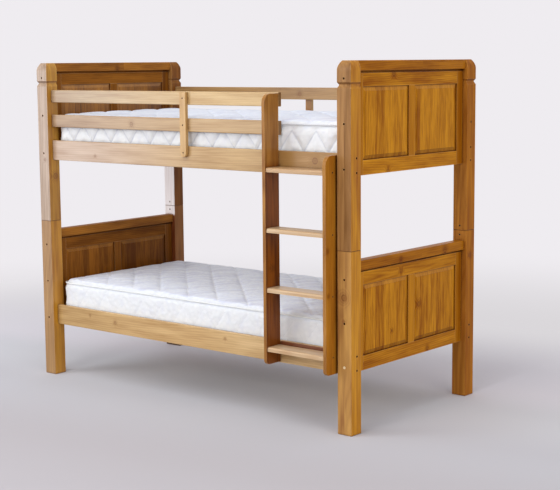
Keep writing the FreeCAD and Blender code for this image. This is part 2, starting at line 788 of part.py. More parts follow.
def rail_bolt(storey, side_sign, rail_middle_y, z, post, rail):
    """Bolt through a post into the end of a rail, and the barrel nut that it pulls on."""
    direction = Vector(-side_sign, 0, 0)
    point = Vector(side_sign * post_outer_x, rail_middle_y, z)
    bolt = headed_bolt(rail_bolt_diameter, rail_bolt_length, rail_bolt_head_diameter,
                       rail_bolt_head_height, rail_bolt_sink)
    bore = bolt_bore(rail_bolt_diameter, rail_bolt_length + bolt_tip_room, rail_bolt_head_diameter,
                     rail_bolt_sink)
    add(f"{storey}_rail_bolts", aim(bolt, point, direction))
    drill([post, rail], aim(bore, point, direction))
    nut, hole = barrel_nut_pair()
    outward = Vector(0, 1 if rail_middle_y > 0 else -1, 0)
    nut_point = Vector(side_sign * (post_inner_x - barrel_nut_inset), rail_middle_y, z)
    add(f"{storey}_barrel_nuts", aim(nut, nut_point, outward))
    drill([rail], aim(hole, nut_point, outward))


def make_rail_bolts():
    """Two bolts at each end of each side rail and one at each post end of the lower guard rails."""
    for storey, rail_bottom in rail_bottoms.items():
        rail_y = rail_inner_y - rail_shifts[storey] + rail_thickness / 2
        for post, side_sign, face_sign in corner_posts(storey):
            face = "front" if face_sign < 0 else "back"
            for way in (-1, 1):
                z = rail_bottom + rail_height / 2 + way * rail_bolt_spacing / 2
                rail_bolt(storey, side_sign, face_sign * rail_y, z, post, f"{storey}_{face}_side_rail")
    for post, side_sign, face_sign in guard_posts():
        face = "front" if face_sign < 0 else "back"
        rail_bolt("upper", side_sign, face_sign * guard_middle_y, guard_middles["lower"], post,
                  f"{face}_lower_guard_rail")


def guard_posts():
    """The upper posts that guard rails run up to: all but the one beside the ladder."""
    return [entry for entry in corner_posts("upper") if entry[1:] != (1, -1)]


def make_guard_dowels():
    """Two dowels at each post end of the top guard rails."""
    dowel = rod(dowel_diameter, dowel_length, -dowel_length / 2)
    room = 2 * thread_fit
    hole = rod(dowel_diameter + room, dowel_length + room, -dowel_length / 2 - thread_fit)
    for post, side_sign, face_sign in guard_posts():
        face = "front" if face_sign < 0 else "back"
        for way in (-1, 1):
            z = guard_middles["top"] + way * dowel_spacing / 2
            point = Vector(side_sign * post_inner_x, face_sign * guard_middle_y, z)
            add("guard_dowels", aim(dowel, point, Vector(1, 0, 0)))
            drill([post, f"{face}_top_guard_rail"], aim(hole, point, Vector(1, 0, 0)))


def make_frame_screws():
    """Three long screws through each post half into the end frame's stile."""
    screw = headed_bolt(frame_screw_diameter, frame_screw_length, rail_bolt_head_diameter,
                        rail_bolt_head_height, frame_screw_sink)
    bore = bolt_bore(frame_screw_diameter, frame_screw_length + thread_fit, rail_bolt_head_diameter,
                     frame_screw_sink)
    for storey, bottom in frame_bottoms.items():
        for post, side_sign, face_sign in corner_posts(storey):
            side = "left" if side_sign < 0 else "right"
            for height in frame_screw_heights:
                point = Vector(side_sign * frame_middle_x, face_sign * post_outer_y, bottom + height)
                add(f"{storey}_frame_screws", aim(screw, point, Vector(0, -face_sign, 0)))
                drill([post, f"{storey}_{side}_stiles"], aim(bore, point, Vector(0, -face_sign, 0)))


def make_cover_cap():
    """Pale cap over the lowest frame screw of the right front post."""
    bore_diameter = rail_bolt_head_diameter + 2 * head_room
    cap = rod(cover_cap_rim_diameter, cover_cap_rim_height, -cover_cap_rim_height)
    rim = [edge for edge in cap.Edges if edge.BoundBox.ZMax < -cover_cap_rim_height / 2
           and edge.BoundBox.XLength > overrun]
    cap = cap.makeFillet(cover_cap_rim_height / 2, rim)
    plug = rod(bore_diameter - 2 * thread_fit, cover_cap_plug_height)
    point = Vector(frame_middle_x, -post_outer_y, lower_frame_bottom + min(frame_screw_heights))
    add("screw_cover_cap", aim(cap.fuse(plug), point, Vector(0, 1, 0)))


def make_post_pins():
    """Steel pins that locate the upper posts, and the small screws that lock them from inside.

    The upper lock screws are backed off a little, as they are when the upper bed is lifted away."""
    half = post_pin_length / 2
    pin = rod(post_pin_diameter, post_pin_length, -half)
    lower_bore = rod(post_pin_diameter + 2 * thread_fit, half + thread_fit, -half - thread_fit)
    upper_bore = rod(post_pin_diameter + 2 * post_pin_clearance, half + post_pin_clearance)
    reach = post_middle_y - post_inner_y - post_pin_diameter / 2
    back_offs = {"lower": thread_fit, "upper": lock_screw_back_off}
    for storey, way, bore in (("lower", -1, lower_bore), ("upper", 1, upper_bore)):
        length = reach - lock_screw_sink - back_offs[storey]
        screw = headed_bolt(lock_screw_diameter, length, lock_screw_head_diameter,
                            lock_screw_head_height, lock_screw_sink)
        screw_bore = bolt_bore(lock_screw_diameter, reach - lock_screw_sink + overrun,
                               lock_screw_head_diameter, lock_screw_sink)
        for post, side_sign, face_sign in corner_posts(storey):
            pin_point = Vector(side_sign * post_middle_x, face_sign * post_middle_y, storey_height)
            drill([post], aim(bore, pin_point, Vector(0, 0, 1)))
            if storey == "lower":
                add("post_pins", aim(pin, pin_point, Vector(0, 0, 1)))
            point = Vector(side_sign * post_middle_x, face_sign * post_inner_y,
                           storey_height + way * lock_screw_from_split)
            add(f"{storey}_lock_screws", aim(screw, point, Vector(0, face_sign, 0)))
            drill([post], aim(screw_bore, point, Vector(0, face_sign, 0)))


def drilled(solid, cutters):
    """A solid with the cutters that reach it taken away."""
    near = [cutter for cutter in cutters if solid.BoundBox.intersect(cutter.BoundBox)]
    return solid.cut(near) if near else solid


def export_all():
    """Drill every piece, move the bed to its origin and write one file for each node."""
    os.makedirs("parts", exist_ok=True)
    for node, solids in pieces.items():
        finished = []
        for solid in solids:
            result = drilled(solid, holes.get(node, []))
            finished += result.Solids
        whole = Part.makeCompound(finished)
        whole.translate(Vector(0, ladder_reach / 2, 0))
        whole.exportStep(f"parts/{node}.step")
        box = whole.BoundBox
        print(f"{node:32s} solids {len(finished):3d} of {len(solids):3d}  valid {whole.isValid()}"
              f"  x {box.XMin:8.1f} {box.XMax:8.1f}  y {box.YMin:7.1f} {box.YMax:7.1f}"
              f"  z {box.ZMin:7.1f} {box.ZMax:7.1f}  cm3 {whole.Volume / 1000:.1f}")


make_posts()
make_end_frames()
make_side_rails()
make_slats()
make_guards()
make_battens()
make_ladder()
make_mattresses()
make_rail_bolts()
make_guard_dowels()
make_frame_screws()
make_cover_cap()
make_post_pins()
export_all()
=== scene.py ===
# %% [markdown]
# # A bunk bed in waxed pine
# This script dresses a finished construction model. The frame below brings in every wooden piece and every
# fastener at its real size and place, in metres, so Blender only has to give each one its looks, and to make
# the two soft mattresses that a construction program can only draw as hard blocks.

import bpy
import math
import numpy as np
from mathutils import Matrix, Vector, noise


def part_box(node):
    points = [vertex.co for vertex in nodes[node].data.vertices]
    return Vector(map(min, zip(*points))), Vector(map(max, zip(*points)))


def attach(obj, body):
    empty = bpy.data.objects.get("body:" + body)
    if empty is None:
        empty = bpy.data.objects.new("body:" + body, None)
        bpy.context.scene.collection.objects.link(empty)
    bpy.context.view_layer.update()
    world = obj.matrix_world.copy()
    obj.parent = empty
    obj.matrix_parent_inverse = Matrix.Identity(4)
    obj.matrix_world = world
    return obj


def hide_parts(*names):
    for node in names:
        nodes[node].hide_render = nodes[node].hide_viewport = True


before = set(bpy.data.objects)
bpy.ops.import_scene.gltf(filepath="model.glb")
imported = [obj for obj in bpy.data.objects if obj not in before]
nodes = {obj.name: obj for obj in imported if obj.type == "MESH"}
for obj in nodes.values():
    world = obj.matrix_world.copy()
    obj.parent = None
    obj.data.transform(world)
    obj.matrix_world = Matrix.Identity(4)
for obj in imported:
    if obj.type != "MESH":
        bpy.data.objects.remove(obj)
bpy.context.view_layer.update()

# %% [markdown]
# A few small helpers serve the whole lesson. Colours are written as the hex values that a paint chart gives, and
# Blender wants them linear, so one function turns them. Another adds one shader node, sets it and joins it, and
# gives back its output for the next, which keeps a material readable from top to bottom.

# %% Helpers for colours and nodes
COLOUR = {"data_type": "RGBA"}
SMOOTH = {"interpolation_type": "SMOOTHSTEP"}


def linear(code):
    """An sRGB hex colour as the linear RGBA that shader sockets take."""
    channels = [int(code[i : i + 2], 16) / 255 for i in (1, 3, 5)]
    return [c / 12.92 if c <= 0.04045 else ((c + 0.055) / 1.055) ** 2.4 for c in channels] + [1.0]


def node(tree, kind, settings=None, inputs=(), out=0):
    """Adds a shader node and gives back one of its outputs. settings are its properties, or only the name of
    its operation. inputs are values, hex colours or other nodes' outputs, in order or by the inputs' keys."""
    made = tree.nodes.new("ShaderNode" + kind)
    if isinstance(settings, str):
        settings = {"operation": settings}
    for key, value in (settings or {}).items():
        setattr(made, key, value)
    for key, value in inputs.items() if isinstance(inputs, dict) else enumerate(inputs):
        if isinstance(value, bpy.types.NodeSocket):
            tree.links.new(value, made.inputs[key])
        else:
            made.inputs[key].default_value = linear(value) if isinstance(value, str) else value
    return made.outputs[out] if made.outputs else made


def new_material(name):
    """An empty node material and its tree."""
    material = bpy.data.materials.new(name)
    material.use_nodes = True
    material.node_tree.nodes.clear()
    return material, material.node_tree


def seen_rays(tree):
    """1 for the rays by which the camera sees a thing, also in a gloss or through glass, and 0 for the others."""
    rays = node(tree, "LightPath").node.outputs
    seen = node(tree, "Math", "MAXIMUM", (rays["Is Camera Ray"], rays["Is Glossy Ray"]))
    return node(tree, "Math", "MAXIMUM", (seen, rays["Is Transmission Ray"]))


print("sRGB mid grey is", round(linear("#808080")[0], 3), "in linear light")

# %% [markdown]
# The camera stands where the photograph was taken: to the right of the foot end, a little above the upper
# mattress, with a long lens. Its place was solved from the corners of the posts and rails, so the render and
# the photograph can be laid over each other. It leans by half a degree, as a hand-levelled camera does.

# %% Camera
turn = math.radians(40.0004)
tilt = math.radians(7.7026)
lean = math.radians(-0.5172)
forward = Vector((-math.sin(turn) * math.cos(tilt), math.cos(turn) * math.cos(tilt), -math.sin(tilt)))
right = forward.cross(Vector((0, 0, 1))).normalized()
upward = right.cross(forward)
side = math.cos(lean) * right + math.sin(lean) * upward
head = -math.sin(lean) * right + math.cos(lean) * upward

lens = bpy.data.cameras.new("photo_camera")
lens.sensor_fit = "HORIZONTAL"
lens.sensor_width = 36.0
lens.lens = 87.152
camera = bpy.data.objects.new("photo_camera", lens)
axes = Matrix((side, head, -forward)).transposed().to_4x4()
camera.matrix_world = Matrix.Translation((4.5476, -5.1429, 1.6509)) @ axes
bpy.context.scene.collection.objects.link(camera)
bpy.context.scene.camera = camera
bpy.context.scene.view_settings.view_transform = "Standard"
print("camera", tuple(round(v, 3) for v in camera.location), "lens", round(lens.lens, 2), "mm")

# %% [markdown]
# The bed stands on a seamless studio floor of pale paper that runs out to near white behind, where no edge
# shows. A large plane does that here with two smooth runs of colour, both painted light: they darken towards the
# camera, where the studio light falls off, and pale with depth. Near the bed the plane is matt and keeps the
# shadow, but its run pales under and behind the bed, which lightens the bed's shadow with painted light, and its
# middle stops are a little bluer against the warm light in that shadow. Farther away the camera sees the second
# run, by distance from a point before the bed, as it is and without shading, so the plane melts into the background.

# %% Studio floor
PAPER_NEAR = "#BFBBBF"
PAPER_MIDDLE = "#DAD7DA"
PAPER_FAR = "#EFECF0"
FLOOR_SIZE = 60
FLOOR_Z = -0.0005  # a hair under the feet
BEFORE_BED = (0.77, -0.92, 0.0)
INTO_DEPTH = (-0.15, 0.99, 0.0)

bpy.ops.object.select_all(action="DESELECT")
bpy.ops.mesh.primitive_plane_add(size=FLOOR_SIZE, location=(0, 0, FLOOR_Z))
floor = bpy.context.object
floor.name = "studio_floor"
floor.data.transform(floor.matrix_world)
floor.matrix_world = Matrix.Identity(4)
paper, tree = new_material("matt_studio_paper")
place = node(tree, "TexCoord", out="Object")
reach = node(tree, "VectorMath", "DISTANCE", (place, BEFORE_BED), "Value")
deep = node(tree, "VectorMath", "DOT_PRODUCT", (place, INTO_DEPTH), "Value")


def paper_ramp(value, marks):
    """A smooth run of paper colours over a value, from pairs of the value's share and a colour."""
    colours = node(tree, "ValToRGB", inputs=(value,))
    ramp = colours.node.color_ramp
    ramp.interpolation = "EASE"
    for spot, code in marks:
        ramp.elements.new(spot).color = linear(code)
    ramp.elements[0].color = linear(marks[0][1])
    ramp.elements[-1].color = linear(marks[-1][1])
    return colours


# Painted light: the matt paper pales with depth, under and behind the bed, which lightens the bed's shadow.
share = node(tree, "MapRange", inputs=(deep, -2.0, 2.0))
near_paper_painted_light = paper_ramp(share, ((0.16, PAPER_NEAR), (0.37, "#C9C9CF"), (0.52, "#D8D9DE"), (0.64, "#E4E1E7")))
# Painted falloff of light: the paper far away is darker towards the camera and pales with distance.
share = node(tree, "Math", "DIVIDE", (reach, 8.0))
far_paper_painted_falloff = paper_ramp(share, ((0.10, PAPER_NEAR), (0.38, PAPER_MIDDLE), (0.80, PAPER_FAR)))
fibre = node(tree, "TexNoise", inputs={"Vector": place, "Scale": 900.0, "Detail": 2.0})
rough = node(tree, "MapRange", inputs={0: fibre, 3: 0.86, 4: 0.98})
matt = node(tree, "BsdfPrincipled", inputs={"Base Color": near_paper_painted_light, "Roughness": rough, "Specular IOR Level": 0.15})
shown = node(tree, "Emission", inputs={"Color": far_paper_painted_falloff, "Strength": 1.0})
behind = node(tree, "MapRange", SMOOTH, (deep, 0.8, 2.1))
around = node(tree, "MapRange", SMOOTH, (reach, 2.6, 5.0))
fade = node(tree, "Math", "MAXIMUM", (behind, around))
share = node(tree, "Math", "MULTIPLY", (seen_rays(tree), fade))
both = node(tree, "MixShader", inputs=(share, matt, shown))
node(tree, "OutputMaterial", inputs=(both,))
floor.data.materials.append(paper)
print("floor at z", floor.data.vertices[0].co.z)

# %% [markdown]
# The light is a soft studio set of five boxes. A low and a high key stand to the left in front and make the pale
# sheen on the front faces. One box stands in front and one hangs overhead, and a weaker, warmer one at the right
# end keeps the end faces deep orange. The room fills the rest. All of it adds up to a plain level, at which a
# colour comes out about as it is written.

# %% Lights and room
def soft_box(name, spot, aim_at, size, power, colour):
    """A square area lamp at a spot, turned to a point."""
    lamp = bpy.data.lights.new(name, "AREA")
    lamp.shape = "SQUARE"
    lamp.size = size
    lamp.energy = power
    lamp.color = linear(colour)[:3]
    holder = bpy.data.objects.new(name, lamp)
    facing = (Vector(aim_at) - Vector(spot)).to_track_quat("-Z", "Y").to_matrix().to_4x4()
    holder.matrix_world = Matrix.Translation(spot) @ facing
    bpy.context.scene.collection.objects.link(holder)


soft_box("low_key_box", (-4.5, -4.7, 1.5), (-0.4, -0.3, 0.9), 2.4, 72, "#F2F6FF")
soft_box("high_key_box", (-3.6, -5.2, 3.4), (-0.4, -0.3, 0.9), 2.4, 68, "#FFFFFF")
soft_box("front_box", (0.9, -6.4, 2.6), (0.2, -0.4, 0.8), 1.8, 80, "#FFFFFF")
soft_box("top_box", (0.5, -2.8, 5.0), (0.2, -0.4, 0.6), 3.6, 88, "#FFFFFF")
soft_box("end_box", (5.6, -2.0, 2.6), (0.6, 0.0, 0.9), 2.4, 44, "#FFF4E4")

room = bpy.data.worlds.new("studio_room")
bpy.context.scene.world = room
room.use_nodes = True
tree = room.node_tree
tree.nodes.clear()
fill = node(tree, "Background", inputs={"Color": "#FAFAFF", "Strength": 0.61})
back = node(tree, "Background", inputs={"Color": PAPER_FAR, "Strength": 1.0})
both = node(tree, "MixShader", inputs=(seen_rays(tree), fill, back))
node(tree, "OutputWorld", inputs=(both,))

# %% [markdown]
# Waxed pine is pale early wood with darker late wood rings round a pith that lies somewhere beside the board.
# Sawn along the trunk, the rings show as stripes and pointed arches; knots are where branches grew, and the
# rings bend round them. So the pattern is built as the tree grew it, in three dimensions, and runs on correctly
# over every edge and end of a board. Rings and fibres are drawn coarser than real ones, so that they show at
# this distance. These are the values of a plain board, and each piece changes a few of them.

# %% Values of pine
KNOT_CORE = "#5A3013"
KNOT_RIM = "#7E4A1F"
# dark wax in the joints, and the colour of painted shade in corners, grooves and on slopes that face down
DARK_WAX_AND_SHADE = "#4A1C06"
RUBBED_EDGE = "#EFD3A2"
# painted light on slopes that face up
LIT_SLOPE = "#E0A45A"

PINE = {
    "pith": (0.02, 0.065),  # how far the pith lies from the piece's centre, across the grain
    "drift": 0.06,  # how far the pith wanders, which makes the arches of a flat-sawn face
    "taper": 0.03,  # how fast the rings run out along the piece, which draws the arches out to points
    "ring": 0.010,  # from ring to ring, where real pine has about 3 mm
    "figure": 0.22,  # strength of the rings
    "fine": 0.5,  # strength of the fibres, 4 mm wide, where real ones are hair-thin
    "streaks": 0.8,  # strength of the streaks, 11 mm wide
    "clouds": 0.9,  # strength of the clouds of colour, 4 cm wide
    "lively": 1.0,  # how short fibres, streaks and clouds are
    "split": None,  # axis, width and start of lengths of wood that lie side by side or end to end
    "sorts": 0.35,  # how much these lengths differ
    "knots": (),  # x, y, z and radius of each
    "darker": None,  # axis, two places on it and how much darker the wood gets from the first to the second
    "sides": None,  # a second pair of tones for the faces that look along +x: painted light and shade, and on the guard rails their darker end grain
    "below": None,  # the height under which these come in
    "fronts": (),  # pairs of tones of painted sheen and shade for the faces that look along -y, each with spans: an axis and from where to where
    "bands": (),  # axis, place, half width and share of a dark line: wax in a joint, painted shade in a groove
    "carved": 0.0,  # how strongly slopes that face up get painted light and slopes that face down painted shade
    "wax": 1.0,  # how dark the painted shade in the corners is, and how matt the wax is
    "gleam": 0.4,  # how strongly the surface mirrors
}
print("values of pine:", len(PINE))

# %% [markdown]
# First comes the place in the tree. A board's own length, width and depth are put in the order across, across
# and along the grain, and its seed moves it to wood of its own. Where a piece is glued up from several lengths,
# each length is moved once more.

# %% Where a board lay in its tree
def place_in_tree(tree, where, grain, seed, centre, split):
    """The point in the tree, how far it lies along the grain, and a chance number for each length of wood."""
    local = node(tree, "VectorMath", "SUBTRACT", (where, centre))
    parts = node(tree, "SeparateXYZ", inputs=(local,)).node.outputs
    run = {axis: parts[axis] for axis in "XYZ"}
    chance = None
    if split:
        axis, width, start = split
        cell = node(tree, "SeparateXYZ", inputs=(where,), out=axis)
        cell = node(tree, "Math", "MULTIPLY_ADD", (cell, 1 / width, -start / width))
        count = node(tree, "Math", "FLOOR", (cell,))
        picked = node(tree, "Math", "ADD", (count, seed * 3.7))
        chance = node(tree, "TexWhiteNoise", {"noise_dimensions": "1D"}, {"W": picked}, "Value")
        if axis != grain:
            inner = node(tree, "Math", "SUBTRACT", (cell, count))
            inner = node(tree, "Math", "MULTIPLY_ADD", (inner, width, -width / 2))
            run[axis] = node(tree, "Math", "MULTIPLY_ADD", (chance, 0.06, inner))
        run[grain] = node(tree, "Math", "MULTIPLY_ADD", (chance, 7.0, run[grain]))
    order = {"X": "YZX", "Y": "XZY", "Z": "XYZ"}[grain]
    spot = node(tree, "CombineXYZ", inputs=[run[axis] for axis in order])
    spot = node(tree, "VectorMath", "ADD", (spot, (0.0, 0.0, seed * 2.31)))
    return spot, run[grain], chance


print("grain runs along X, Y or Z")

# %% [markdown]
# The rings are the distance from a pith that wanders by a few centimetres over a metre. A knot pushes them
# aside, and is itself a dark rim round a darker middle with a soft halo about it.

# %% Rings and knots
def ring_pattern(tree, where, spot, along, look):
    """The rings from 0 to 1, how far a point lies in a knot, and how far in a knot's halo."""
    slow = node(tree, "VectorMath", "MULTIPLY", (spot, (2.0, 2.0, 1.3)))
    sway = node(tree, "TexNoise", inputs={"Vector": slow, "Scale": 1.0, "Detail": 1.5}, out="Color")
    sway = node(tree, "VectorMath", "SUBTRACT", (sway, (0.5, 0.5, 0.5)))
    sway = node(tree, "VectorMath", "MULTIPLY", (sway, (look["drift"], look["drift"], 0.0)))
    core = node(tree, "VectorMath", "MULTIPLY_ADD", (spot, (1.0, 1.0, 0.0), sway))
    core = node(tree, "VectorMath", "DISTANCE", (core, (*look["pith"], 0.0)), "Value")
    radius = node(tree, "Math", "MULTIPLY_ADD", (along, look["taper"], core))
    dark = halo = 0.0
    for x, y, z, size in look["knots"]:
        gap = node(tree, "VectorMath", "DISTANCE", (where, (x, y, z)), "Value")
        aside = node(tree, "MapRange", SMOOTH, (gap, size * 4.0, 0.0, 0.0, size * 2.4))
        radius = node(tree, "Math", "ADD", (radius, aside))
        rim = node(tree, "Math", "COMPARE", (gap, size, size * 0.20))
        middle = node(tree, "MapRange", SMOOTH, (gap, size * 1.1, size * 0.2, 0.0, 0.7))
        both = node(tree, "Math", "MAXIMUM", (rim, middle))
        dark = node(tree, "Math", "MAXIMUM", (dark, both))
        about = node(tree, "MapRange", SMOOTH, (gap, size * 3.4, size, 0.0, 0.30))
        halo = node(tree, "Math", "MAXIMUM", (halo, about))
    phase = node(tree, "Math", "MULTIPLY", (radius, 2 * math.pi / look["ring"]))
    rings = node(tree, "Math", "SINE", (phase,))
    rings = node(tree, "MapRange", inputs=(rings, -1.0, 1.0))
    return node(tree, "Math", "POWER", (rings, 1.8)), dark, halo


print("rings are one sine of the distance from the pith")

# %% [markdown]
# How deep the tone is at a point is a sum: rings, fibres, streaks and clouds, all drawn out along the grain, a
# step from length to length, a darker stretch and the halo of a knot. The sum picks a colour between a pale and
# a deep tone. Some pieces have other tones on the faces that look to the right or to the front. These are painted
# light and shade by how the lamps fall on them, with the darker end grain of the guard rails as the one exception.

# %% Depth of tone
def tone_depth(tree, where, spot, rings, chance, halo, look):
    """The share of the deep tone, and the noises of the fibres, streaks and clouds."""
    lively = look["lively"]
    layers = ((300.0, 6.0 * lively, look["fine"]), (90.0, 1.7 * lively, look["streaks"]),
              (25.0, 1.6 * lively, look["clouds"]))
    start = 0.45 - 0.36 * look["figure"] - 0.5 * sum(weight for _, _, weight in layers)
    share = node(tree, "Math", "MULTIPLY_ADD", (rings, look["figure"], start))
    grains = []
    for wide, long, weight in layers:
        drawn = node(tree, "VectorMath", "MULTIPLY", (spot, (wide, wide, long)))
        grains.append(node(tree, "TexNoise", inputs={"Vector": drawn, "Scale": 1.0, "Detail": 2.5}))
        share = node(tree, "Math", "MULTIPLY_ADD", (grains[-1], weight, share))
    if look["split"]:
        step = node(tree, "Math", "MULTIPLY_ADD", (chance, look["sorts"], -look["sorts"] / 2))
        share = node(tree, "Math", "ADD", (share, step))
    if look["darker"]:
        axis, start, end, amount = look["darker"]
        place = node(tree, "SeparateXYZ", inputs=(where,), out=axis)
        more = node(tree, "MapRange", inputs=(place, start, end, 0.0, amount))
        share = node(tree, "Math", "ADD", (more, share))
    if look["knots"]:
        share = node(tree, "Math", "ADD", (share, halo))
    return node(tree, "Clamp", inputs=(share,)), grains


def face_tones(tree, where, normal, share, tones, look):
    """The colour of the wood, with painted sheen and shade on the faces to the front and to the right, and darker end
    grain, laid over its own.
    """
    wood = node(tree, "Mix", COLOUR, {0: share, 6: tones[0], 7: tones[1]}, 2)
    # Painted light and shade on the faces that look to the right, and the darker end grain of the guard rails.
    if look["sides"]:
        facing = node(tree, "SeparateXYZ", inputs=(normal,), out="X")
        facing = node(tree, "Math", "MAXIMUM", (facing, 0.0))
        if look["below"]:
            under = node(tree, "SeparateXYZ", inputs=(where,), out="Z")
            under = node(tree, "MapRange", SMOOTH, (under, look["below"] + 0.03, look["below"] - 0.03))
            facing = node(tree, "Math", "MULTIPLY", (facing, under))
        other = node(tree, "Mix", COLOUR, {0: share, 6: look["sides"][0], 7: look["sides"][1]}, 2)
        wood = node(tree, "Mix", COLOUR, {0: facing, 6: wood, 7: other}, 2)
    # Painted sheen and shade on the faces that look to the front.
    for pale, deep, *spans in look["fronts"]:
        ahead = node(tree, "SeparateXYZ", inputs=(normal,), out="Y")
        ahead = node(tree, "MapRange", inputs=(ahead, -0.2, -0.9))
        for axis, start, end in spans:
            place = node(tree, "SeparateXYZ", inputs=(where,), out=axis)
            place = node(tree, "MapRange", SMOOTH, (place, start, end))
            ahead = node(tree, "Math", "MULTIPLY", (ahead, place))
        other = node(tree, "Mix", COLOUR, {0: share, 6: pale, 7: deep}, 2)
        wood = node(tree, "Mix", COLOUR, {0: ahead, 6: wood, 7: other}, 2)
    return wood


print("tones ready")

# %% [markdown]
# Last come wear, wax and painted shade. Rubbed edges are a little paler, and dark wax lies in the joint between
# the halves of a post. Painted shade darkens the corners, the groove of each collar, the groove round each panel
# and the slopes that face down, and painted light brightens the slopes that face up. Wax also fills the soft
# early wood, so the late wood stands proud by a hair and shines less.

# %% Waxed pine
def wear_wax_and_painted_shade(tree, where, normal, wood, look):
    """The wood with paler edges, dark wax in its joints, painted shade in its corners and grooves, and painted light
    and shade on its slopes.
    """
    true = node(tree, "NewGeometry", out="Normal")
    soft = node(tree, "Bevel", {"samples": 4}, {"Radius": 0.004})
    edge = node(tree, "VectorMath", "DOT_PRODUCT", (true, soft), "Value")
    edge = node(tree, "MapRange", inputs=(edge, 0.99, 0.80, 0.0, 0.0 if look["carved"] else 0.25))
    wood = node(tree, "Mix", COLOUR, {0: edge, 6: wood, 7: RUBBED_EDGE}, 2)
    # Painted shade: the wood darkens in its corners and crevices, where shade would fall.
    painted_corner_shade = node(tree, "AmbientOcclusion", {"samples": 6}, {"Distance": 0.020}, "AO")
    painted_corner_shade = node(tree, "MapRange", SMOOTH, (painted_corner_shade, 0.74, 0.30, 0.0, 0.88 * look["wax"]))
    wood = node(tree, "Mix", COLOUR, {0: painted_corner_shade, 6: wood, 7: DARK_WAX_AND_SHADE}, 2)
    # Dark lines: wax in a joint, and painted shade in a groove.
    for axis, level, half, amount in look["bands"]:
        off = node(tree, "SeparateXYZ", inputs=(where,), out=axis)
        off = node(tree, "Math", "SUBTRACT", (off, level))
        off = node(tree, "Math", "ABSOLUTE", (off,))
        line = node(tree, "MapRange", SMOOTH, (off, half, half * 0.3, 0.0, amount))
        wood = node(tree, "Mix", COLOUR, {0: line, 6: wood, 7: DARK_WAX_AND_SHADE}, 2)
    # Painted light and shade: slopes that face up are lighter, slopes that face down darker.
    if look["carved"]:
        slope = node(tree, "SeparateXYZ", inputs=(normal,), out="Z")
        lit = node(tree, "MapRange", inputs=(slope, 0.05, 0.16, 0.0, 0.45 * look["carved"]))
        shaded = node(tree, "MapRange", inputs=(slope, -0.05, -0.16, 0.0, 0.60 * look["carved"]))
        wood = node(tree, "Mix", COLOUR, {0: lit, 6: wood, 7: LIT_SLOPE}, 2)
        wood = node(tree, "Mix", COLOUR, {0: shaded, 6: wood, 7: DARK_WAX_AND_SHADE}, 2)
    return wood


def waxed_pine(name, grain, seed, tones, centre, **changes):
    """Pine with satin wax. grain is the axis that the fibres follow, and changes are values other than PINE's."""
    look = {**PINE, **changes}
    material, tree = new_material(name)
    places = node(tree, "TexCoord").node.outputs
    where, normal = places["Object"], places["Normal"]
    spot, along, chance = place_in_tree(tree, where, grain, seed, centre, look["split"])
    rings, dark, halo = ring_pattern(tree, where, spot, along, look)
    share, grains = tone_depth(tree, where, spot, rings, chance, halo, look)
    wood = face_tones(tree, where, normal, share, tones, look)
    wood = wear_wax_and_painted_shade(tree, where, normal, wood, look)
    if look["knots"]:
        knot = node(tree, "Mix", COLOUR, {0: rings, 6: KNOT_RIM, 7: KNOT_CORE}, 2)
        cover = node(tree, "Math", "MULTIPLY", (dark, 0.55))
        wood = node(tree, "Mix", COLOUR, {0: cover, 6: wood, 7: knot}, 2)
    gloss = node(tree, "MapRange", inputs={0: grains[1], 3: 0.27 / look["wax"], 4: 0.40 / look["wax"]})
    relief = node(tree, "Math", "MULTIPLY_ADD", (rings, 0.5, grains[0]))
    bump = node(tree, "Bump", inputs={"Strength": 0.35, "Distance": 0.0008, "Height": relief})
    surface = {"Base Color": wood, "Roughness": gloss, "Normal": bump, "IOR": 1.5}
    shader = node(tree, "BsdfPrincipled", inputs={**surface, "Specular IOR Level": look["gleam"]})
    node(tree, "OutputMaterial", inputs=(shader,))
    return material


def finish_node(name, material):
    """Gives a frame node its material in place of the plain one that it came with."""
    body = nodes[name].data
    body.materials.clear()
    body.materials.append(material)


print("pine ready")

# %% [markdown]
# The tones follow the bed. Each kind of piece has its own: pale guard rails and treads, golden side rails, deep
# orange end frames. Two more tables hold the tones of faces that look to the right and to the front, where they
# aren't those of the kind. These are painted light and shade: the lamps' sheen, nearly white on some fronts, and
# the shade on faces that the lamps light less. Only the darker end grain of the guard rails is the wood's own.

# %% Tones of the timber
TONES = {  # a pale tone, a deep tone and how strongly the surface mirrors
    "left_front_post": ("#D1962A", "#975B0D", 0.60),
    "left_back_post": ("#C98F2A", "#8F550C", 0.15),
    "right_front_post": ("#E3A026", "#A5610C", 0.18),
    "right_back_post": ("#C37C14", "#8C4905", 0.08),
    "right_frame": ("#DE9822", "#935006", 0.05),
    "right_cap": ("#C47E1C", "#824305", 0.05),
    "left_frame": ("#A0641F", "#63370D", 0.08),
    "left_cap": ("#B97929", "#744312", 0.15),
    "upper_left_panels": ("#AC7227", "#6B3F13", 0.45),
    "rail": ("#CFAB75", "#A67E48", 0.45),
    "upper_rail": ("#C4A26E", "#9D7744", 0.45),
    "top_guard": ("#D2B480", "#AE8A54", 0.45),
    "lower_guard": ("#C3A477", "#A17D4E", 0.45),
    "batten": ("#D4AF75", "#AF864D", 0.45),
    "tread": ("#D9C09C", "#B69066", 0.45),
    "ladder": ("#B07D3C", "#805020", 0.20),
    "bare": ("#E8D2AC", "#C8A272", 0.45),
    # painted shade: nearly black, for the dark under the lower bed
    "bearer": ("#4E3420", "#38220F", 0.45),
}
GOLDEN_SIDE = ("#E8A126", "#9D590A")
END_GRAIN = ("#94703F", "#65431F")
